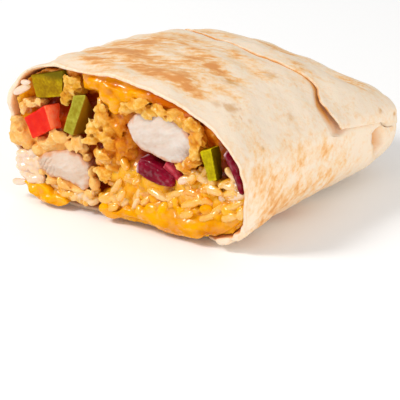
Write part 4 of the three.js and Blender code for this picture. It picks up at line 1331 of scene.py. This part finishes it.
def centre_crust():
    lumps = [(-2.0, 33.2, 5.0, 4.4, 3.6, 3.6, 0), (-5.4, 31.0, 4.8, 4.0, 3.6, 4.6, 0), (-5.0, 24.2, 4.8, 4.6, 3.6, 5.2, 0),
             (-5.4, 17, 4.8, 4.2, 3.4, 4.2, 0), (-1.8, 27, 4.8, 3.2, 3.0, 5, 0), (-2.6, 21.4, 4.4, 3.0, 2.6, 3, 0)]
    lumps += under(ARC_KNOBS) + under(BATTER_KNOBS)
    flakes = lobes(ARC_KNOBS) + lobes(BATTER_KNOBS)
    flakes += torn_edge([(-9.8, 37.2), (-10.6, 34.4), (-11.4, 32), (-13.4, 29.8), (-13.6, 27.6), (-14.8, 24.6),
                         (-12.4, 21.2), (-9.9, 13.6), (-9.2, 12.4), (-9, 38.6), (-2, 35.4)], 1.3, 0.4)
    flakes += torn_edge([(24.8, 35), (24.4, 29.6), (23.6, 26.4), (19.4, 22.2), (12.4, 37.2), (-8, 27), (-8, 20)], 1.2, 0.6)
    return make_crust("centre_fried_crust", oval(12.4, 30.4, 13.4, 7.6, -19), 2.6, 57, lumps, flakes)


def left_crust():
    lumps = [(-36.4, 21.4, 4.8, 4.0, 3.4, 5, 0), (-31.4, 18.6, 5, 4, 3.4, 3.4, 0), (-40.4, 22, 3.6, 2.4, 3.2, 4.4, 0)]
    lumps += under(LEFT_KNOBS, 0.95) + under(FAR_LEFT_KNOBS, 0.95)
    flakes = lobes(LEFT_KNOBS[:-3], 1.05, 0.5) + lobes(FAR_LEFT_KNOBS, 1.05, 0.6)
    flakes += torn_edge([(-17.8, 23.6), (-17.6, 21.2), (-16, 18.6), (-14.4, 11), (-14.8, 7.6), (-21.8, 23.4)], 1.1, 0.6)
    return make_crust("left_fried_crust", oval(-25.2, 13.6, 10.4, 7.0, -14), 1.5, 53, lumps, flakes, crisp=0.5)


def small_crumb(name, middle, knobs):
    return make_crust(name, None, 0, 0, [middle] + under(knobs),
                      lobes(knobs) + torn_edge([(x, z) for x, z, *_ in knobs], 1.0, 1.0))


def make_meat(name, outline, front, back, fibres, voxel=0.36):
    """Cut chicken: its face swells a little, frays into fibres on one side and browns at its rim."""
    meat = slab(name, outline, front, back, 0.7)
    fuse(meat, voxel, 7)
    roughen(meat, 5, 1.0)
    roughen(meat, 1.4, 0.22)
    points = points_of(meat)
    xs, zs = (np.array(line) for line in zip(*outline))
    gap = np.full(len(points), 99.0)
    for ax, az, bx, bz in zip(xs, zs, np.roll(xs, -1), np.roll(zs, -1)):
        along = np.clip(((points[:, 0] - ax) * (bx - ax) + (points[:, 2] - az) * (bz - az))
                        / ((bx - ax) ** 2 + (bz - az) ** 2), 0, 1)
        gap = np.minimum(gap, np.hypot(points[:, 0] - ax - along * (bx - ax), points[:, 2] - az - along * (bz - az)))
    near = 1 - smooth_step(points[:, 1] - CUT_Y, 2, 6)
    points[:, 1] -= near * 1.3 * smooth_step(gap, 0, 5)
    frayed = np.exp(-((points[:, 0] - fibres[0]) ** 2 + (points[:, 2] - fibres[1]) ** 2) / fibres[2] ** 2)
    lines = np.sin(2 * math.pi * (points[:, 0] * math.cos(fibres[3]) + points[:, 2] * math.sin(fibres[3])
                                  + 0.3 * waves(points, 4, 12)) / 1.15)
    points[:, 1] += near * frayed * (0.3 + 0.3 * lines)
    move_points(meat, points)
    keep_inside(meat)
    rough_gap = gap + 0.5 * waves(points, 3, 14, 3)
    mark(meat, "browned", near * (0.65 * (1 - smooth_step(rough_gap, 0.0, 1.3)) + 0.12 * frayed * (0.5 - 0.5 * lines)))
    mark_ridges(meat, gain=1.0, reach=10)
    return meat


def make_cheese(name, outline, front, back, lumps, voxel=0.45, smooth=12, tilt=0.0, coated=(), painted_shadow=(90, 99)):
    """Cheese that ran and set: a smooth sheet with soft folds, leaning back, with coated grains showing in it."""
    cheese = add_lumps(slab(name, outline, front, back, 0.9), lumps)
    fuse(cheese, voxel, smooth)
    if coated:
        cheese = add_lumps(cheese, coated)
        fuse(cheese, voxel - 0.1, 5)
    roughen(cheese, 6.5, 1.6)
    points = points_of(cheese)
    near = 1 - smooth_step(points[:, 1] - CUT_Y, 4, 9)
    points[:, 1] += near * tilt * np.maximum(points[:, 2] - 6, 0)
    move_points(cheese, points)
    keep_inside(cheese)
    mark_ridges(cheese, gain=0.6, reach=10)
    # painted shadow: darker towards the right under the tortilla's rim on the top cheese, and low at the right end of
    # the bottom cheese
    low = (1 - smooth_step(points_of(cheese)[:, 2], 3.5, 9)) * smooth_step(points_of(cheese)[:, 0], 23, 30)
    mark(cheese, "painted_shadow", np.maximum(smooth_step(points_of(cheese)[:, 0], *painted_shadow), 0.85 * low))
    return cheese


CHEESE_TOP = [(-16.2, 39.2), (-16.6, 44.6), (-9.2, 45), (0, 44.8), (8.4, 43.8), (16, 42), (23, 38.6), (20, 36.4),
              (15.9, 38.4), (11.8, 39.4), (7.3, 39.4), (1.9, 38.2), (-1, 36.4), (-4, 34.4), (-6.9, 34.1), (-8.5, 36.2),
              (-10.2, 37.6), (-12.3, 38.7), (-14.5, 38.6)]
CHEESE_BOTTOM = [(-11.6, 4.4), (-9.1, 2.4), (-6.2, 3.6), (-2.3, 6.8), (1.2, 6.4), (4.5, 8), (7.7, 7.4), (10.7, 9.6),
                 (13.2, 10.6), (15.6, 9.6), (18.3, 9), (21.9, 10.2), (25.3, 9.8), (30.7, 13.6), (34.6, 16), (40, 16.4),
                 (40.4, 13), (38.6, 9.8), (34.6, 6.6), (29.3, 4.4), (24.4, 2.4), (18.7, 1.6), (13.5, 1.6), (8.2, 2.4),
                 (4, 3.4), (0.5, 3.6), (-3.2, 2.3), (-6.8, 1.6), (-10.7, 2.2)]
CHEESE_LEFT = [(-39, 6.4), (-36.1, 6.6), (-33, 7), (-30.4, 5.6), (-29, 4.4), (-26.6, 4.4), (-24.4, 4.2), (-23.4, 2.4),
               (-26.4, 1), (-29.8, 0.8), (-33.6, 1.3), (-36.6, 3.2)]


def make_cheeses():
    top = make_cheese("cheese_top", CHEESE_TOP, 1.2, 55, [
        (-12.0, 41.0, 1.8, 3.6, 1.8, 2.4, 0), (-7.6, 39.2, 1.4, 3.0, 2.4, 3.6, 0.2), (-4.4, 37.0, 1.2, 2.4, 2, 3.6, 0.3),
        (-1.4, 40.6, 1.2, 4.6, 2.2, 2.2, 0.1), (5.4, 41.2, 1.6, 4.4, 2, 1.7, 0), (12.8, 40.6, 1.8, 4.4, 1.8, 1.5, 0.2),
        (-5.0, 41.8, 0.2, 3.4, 0.9, 0.8, 0.1), (3.6, 42.0, 0.4, 3.0, 0.9, 0.7, 0.05), (-11.6, 42.6, 0.6, 2.6, 0.9, 0.7, 0.1),
        (-8.0, 42.4, 0.4, 1.8, 0.8, 0.6, 0), (-5.4, 38.6, 0.2, 1.6, 1.0, 0.7, 0.3),
    ], 0.42, 14, painted_shadow=(4, 14))
    bottom = make_cheese("cheese_bottom", CHEESE_BOTTOM, -0.6, 59, [
        (-8, 3.2, 0.4, 3, 1.6, 1.6, 0), (0, 5, 0.2, 4, 1.8, 1.9, 0), (7, 5.6, 0, 4.6, 2, 2.6, 0),
        (14, 5.6, 0, 6, 2.2, 3.6, 0), (21, 5.8, 0, 6, 2.4, 3.8, 0), (28.6, 8, 0, 5.4, 2.4, 3.8, -0.5),
        (35, 11.6, 0, 4.6, 2.2, 4, -0.7), (12.4, 9.4, 0.4, 1.8, 1.6, 2.2, 0.4), (24, 9, 0.2, 2.6, 1.6, 1.6, 0),
    ], 0.45, 22, 0.3, [
        (12, 8.6, -0.9, 1.6, 1.5, 2.6, 0.2), (18.5, 9.2, -0.8, 2.4, 1.5, 1.6, 0), (26.9, 11.4, -1.2, 2.7, 1.6, 1.7, 0.2),
        (34.2, 12.4, -1.2, 2.7, 1.7, 2, 0.3), (38.2, 13.4, -0.8, 1.6, 1.5, 2.2, 0), (30.3, 10.6, -1.4, 2, 1.5, 1.5, 0.4),
        (-1.1, 5, 0, 2.1, 1.4, 1.3, 0.6), (3.6, 6.4, -0.4, 2.2, 1.4, 1.5, 0.7), (-9.6, 4.2, 0, 1.9, 1.4, 1.6, -0.4),
        (22.6, 10.4, -0.8, 2.2, 1.4, 1.4, -0.2), (15.2, 11, -0.2, 1.5, 1.4, 2.2, -0.4), (7.6, 8, -0.4, 2.4, 1.4, 1.5, 0),
    ])
    left = make_cheese("cheese_left", CHEESE_LEFT, -0.4, 45, [
        (-35.2, 4.4, 0, 2.8, 1.6, 2.0, 0.5), (-30, 2.8, -0.2, 3, 1.5, 1.6, 0),
    ], 0.4, 6)
    return top, bottom, left


DICE = {  # front corners (x, z) from top left round to bottom left, the same at the back, front, back, rounding
    "avocado_1": (((-35.2, 39.8), (-22.8, 43.4), (-23.6, 35.1), (-33.4, 32.9)),
                  ((-34.4, 38.8), (-23.2, 42.2), (-23.8, 34.9), (-33.2, 32.9)), 0.9, 9, 0.5),
    "avocado_2": (((-18.9, 37), (-14, 38.2), (-20, 24.4), (-23.4, 25.1)),
                  ((-20, 33.6), (-15.8, 31.4), (-17.8, 23.6), (-22.4, 24.4)), 0, 5.4, 0.4),
    "avocado_3": (((25.3, 28.8), (29.3, 30.7), (31, 21.4), (28, 20.4)),
                  ((24.4, 28.6), (28.9, 29.8), (29.2, 19.8), (26.6, 18.6)), 0, 5.6, 0.4),
    "tomato_1": (((-37.3, 26.6), (-29.2, 32), (-27, 25.1), (-34.4, 20.5)),
                 ((-36.8, 25.4), (-29.2, 30.6), (-27.8, 23.4), (-34.6, 19.6)), -0.6, 6.4, 0.4),
}


def make_die(name, front, back, shallow, deep, rounding):
    """A diced piece: soft edges, faces that bow a little and carry the drag of the knife."""
    clear_selection()
    bpy.ops.mesh.primitive_cube_add(size=2)
    die = bpy.context.object
    die.name = name + "_die"
    corners = points_of(die)
    order = {(-1, 1): 0, (1, 1): 1, (1, -1): 2, (-1, -1): 3}
    for number, (x, y, z) in enumerate(np.rint(corners).astype(int)):
        place = (front if y < 0 else back)[order[(x, z)]]
        corners[number] = (place[0], CUT_Y + (shallow if y < 0 else deep), place[1])
    move_points(die, corners)
    apply_modifier(die, "BEVEL", width=rounding, segments=3, profile=0.6)
    apply_modifier(die, "REMESH", mode="VOXEL", voxel_size=0.22, use_smooth_shade=True)
    apply_modifier(die, "SMOOTH", factor=0.5, iterations=2)
    roughen(die, 5, 0.5)
    roughen(die, 1.1, 0.08)
    facing = normals_of(die)
    # side faces turned towards +X: painted shade on the avocado dice, lighter pulp with a painted glow on the tomato
    mark(die, "side", smooth_step(facing[:, 0], 0.45, 0.75))
    # painted shadow: the skin band along the top of the highest die stands for the tortilla rim's shadow
    mark(die, "skin", smooth_step(points_of(die)[:, 2], 38.8, 41.6) * 0.9)
    mark_ridges(die, gain=1.4, reach=8)
    return die


PETALS = {  # places along the middle line (x, z), thickness at each, how deep, front
    "red_onion_1": (((1.9, 19.6), (6, 18.6), (10.6, 17.4), (15.4, 16.9)), (5, 6.3, 6, 3.2), 6, 0.3),
    "red_onion_2": (((11.4, 21.8), (13.2, 20.6), (15, 19.2), (16.8, 17.6)), (3.6, 3.6, 3, 2), 5, 1.4),
    "red_onion_3": (((33.4, 30.2), (35.6, 27.4), (37.6, 23.8), (39.1, 17.9)), (1.8, 3, 3.2, 1.2), 6, 0.1),
}


def make_petal(name, line, thick, deep, front):
    """A bowed sliver of red onion with ribs along it."""
    columns, rows = 48, 64
    line = np.array(line, float)
    stops = np.linspace(0, 1, len(line))
    share_of = 0.5 - 0.5 * np.cos(math.pi * np.linspace(0, 1, rows + 1))
    centre = np.stack([np.interp(share_of, stops, line[:, axis]) for axis in (0, 1)], -1)
    for _ in range(30):
        centre[1:-1] = (centre[:-2] + 2 * centre[1:-1] + centre[2:]) / 4
    along = np.gradient(centre, axis=0)
    along /= np.linalg.norm(along, axis=1)[:, None]
    wide = np.interp(share_of, stops, thick)

    def place(column, row):
        share = share_of[row]
        turn = 2 * math.pi * column / columns
        blunt = np.sqrt(np.clip(1 - (1 - np.clip(np.minimum(share, 1 - share) / 0.07, 0, 1)) ** 2, 0, 1))
        rib = 1 + 0.03 * np.sin(7 * turn) + 0.02 * np.sin(12 * turn + 1)
        corner = np.sign(np.cos(turn)) * np.abs(np.cos(turn)) ** 0.7
        side = np.sign(np.sin(turn)) * np.abs(np.sin(turn)) ** 0.7
        off = wide[row] / 2 * side * blunt * rib
        return np.stack([
            centre[row, 0] - along[row, 1] * off,
            CUT_Y + front + deep / 2 + deep / 2 * corner * blunt * rib,
            centre[row, 1] + along[row, 0] * off,
        ], -1)

    # the pale end: the cut end's own paler flesh, streaked as a painted highlight
    def pale(column, row):
        streak = 0.5 + 0.5 * np.cos(2 * math.pi * column / columns * 3 + 2.4)
        return (1 - smooth_step(share_of[row], 0.02, 0.07 + 0.07 * streak)) * (0.3 + 0.6 * streak)

    petal = rolled_grid(name + "_petal", columns, rows, place, marks={"pale": pale})
    roughen(petal, 2.6, 0.3)
    mark_ridges(petal, gain=2)
    return petal


# ---------------------------------------------------------------- assembly

studio()

TORTILLA = toasted_tortilla()
finish_piece(make_wrap(), TORTILLA, ["tortilla_wrap"])
finish_piece(make_flap(), TORTILLA, ["tortilla_wrap"])

RICE = cooked_rice()
finish_piece(make_core(), packed_sauce(), ["rice_filling"])
finish_piece(make_rice(), RICE, ["rice_filling"])
finish_piece(make_white_rice(), RICE, ["rice_filling"])

CRUST = fried_crust("fried crust", (124, 36, 0), (184, 88, 0), (216, 136, 22), (232, 168, 58), (246, 208, 124))
TENDER_CRUST = fried_crust("fried crust, tender", (160, 66, 10), (216, 130, 42), (234, 164, 74), (240, 180, 94),
                           (242, 200, 130))
CRUMBS = fried_crust("fried crust, browned", (106, 40, 0), (164, 84, 2), (200, 130, 20), (218, 156, 42), (236, 190, 94))
finish_piece(centre_crust(), CRUST, ["chicken_centre"])
finish_piece(make_meat("centre_meat", MEAT_CENTRE, 0.9, 40, (20, 27, 3, 0.5)),
             chicken_meat("chicken meat", (202, 158, 130), (218, 197, 180), (226, 215, 205)), ["chicken_centre"])
finish_piece(left_crust(), TENDER_CRUST, ["chicken_left"])
finish_piece(make_meat("left_meat", MEAT_LEFT, 0.6, 38, (-30.6, 13.2, 3.6, -0.6)),
             chicken_meat("chicken meat, tender", (206, 154, 114), (218, 190, 166), (222, 205, 190)),
             ["chicken_left"])
finish_piece(small_crumb("top_crumb", (-19.2, 38.8, 4, 3, 3, 3.6, 0), CRUMB_TOP),
             CRUMBS, ["fried_crumb_top"])
finish_piece(small_crumb("left_crumb", (-34.4, 30.8, 4, 2.8, 3, 1.8, 0), CRUMB_LEFT),
             TENDER_CRUST, ["fried_crumb_left"])

TOP_CHEESE, BOTTOM_CHEESE, LEFT_CHEESE = make_cheeses()
finish_piece(TOP_CHEESE, melted_cheese("melted cheese under the crown", (246, 166, 2), (196, 94, 0)),
             ["melted_cheese_top"])
BASE_CHEESE = melted_cheese("melted cheese", (248, 176, 2), (206, 108, 0))
finish_piece(BOTTOM_CHEESE, BASE_CHEESE, ["melted_cheese_bottom"])
finish_piece(LEFT_CHEESE, BASE_CHEESE, ["melted_cheese_left"])

AVOCADO = {
    "avocado_1": avocado_flesh("avocado, firm", (198, 168, 8), (156, 118, 0), (106, 72, 0)),
    "avocado_2": avocado_flesh("avocado, pale", (186, 178, 64), (150, 136, 26), (140, 92, 8)),
    "avocado_3": avocado_flesh("avocado, bright", (214, 196, 8), (170, 150, 0), (106, 88, 0)),
}
for name, values in DICE.items():
    die = make_die(name, *values)
    if name == "tomato_1":
        finish_piece(die, tomato_flesh(), [name])
    else:
        finish_piece(die, AVOCADO[name], [name])

# the last colour of each onion is its pale cut end, partly a painted highlight
DEEP_ONION = onion_skin("red onion", (84, 0, 16), (142, 8, 40), (240, 210, 214))
BRIGHT_ONION = onion_skin("red onion, bright", (130, 4, 30), (200, 60, 74), (210, 100, 100))
for name, values in PETALS.items():
    finish_piece(make_petal(name, *values), BRIGHT_ONION if name == "red_onion_2" else DEEP_ONION, [name])
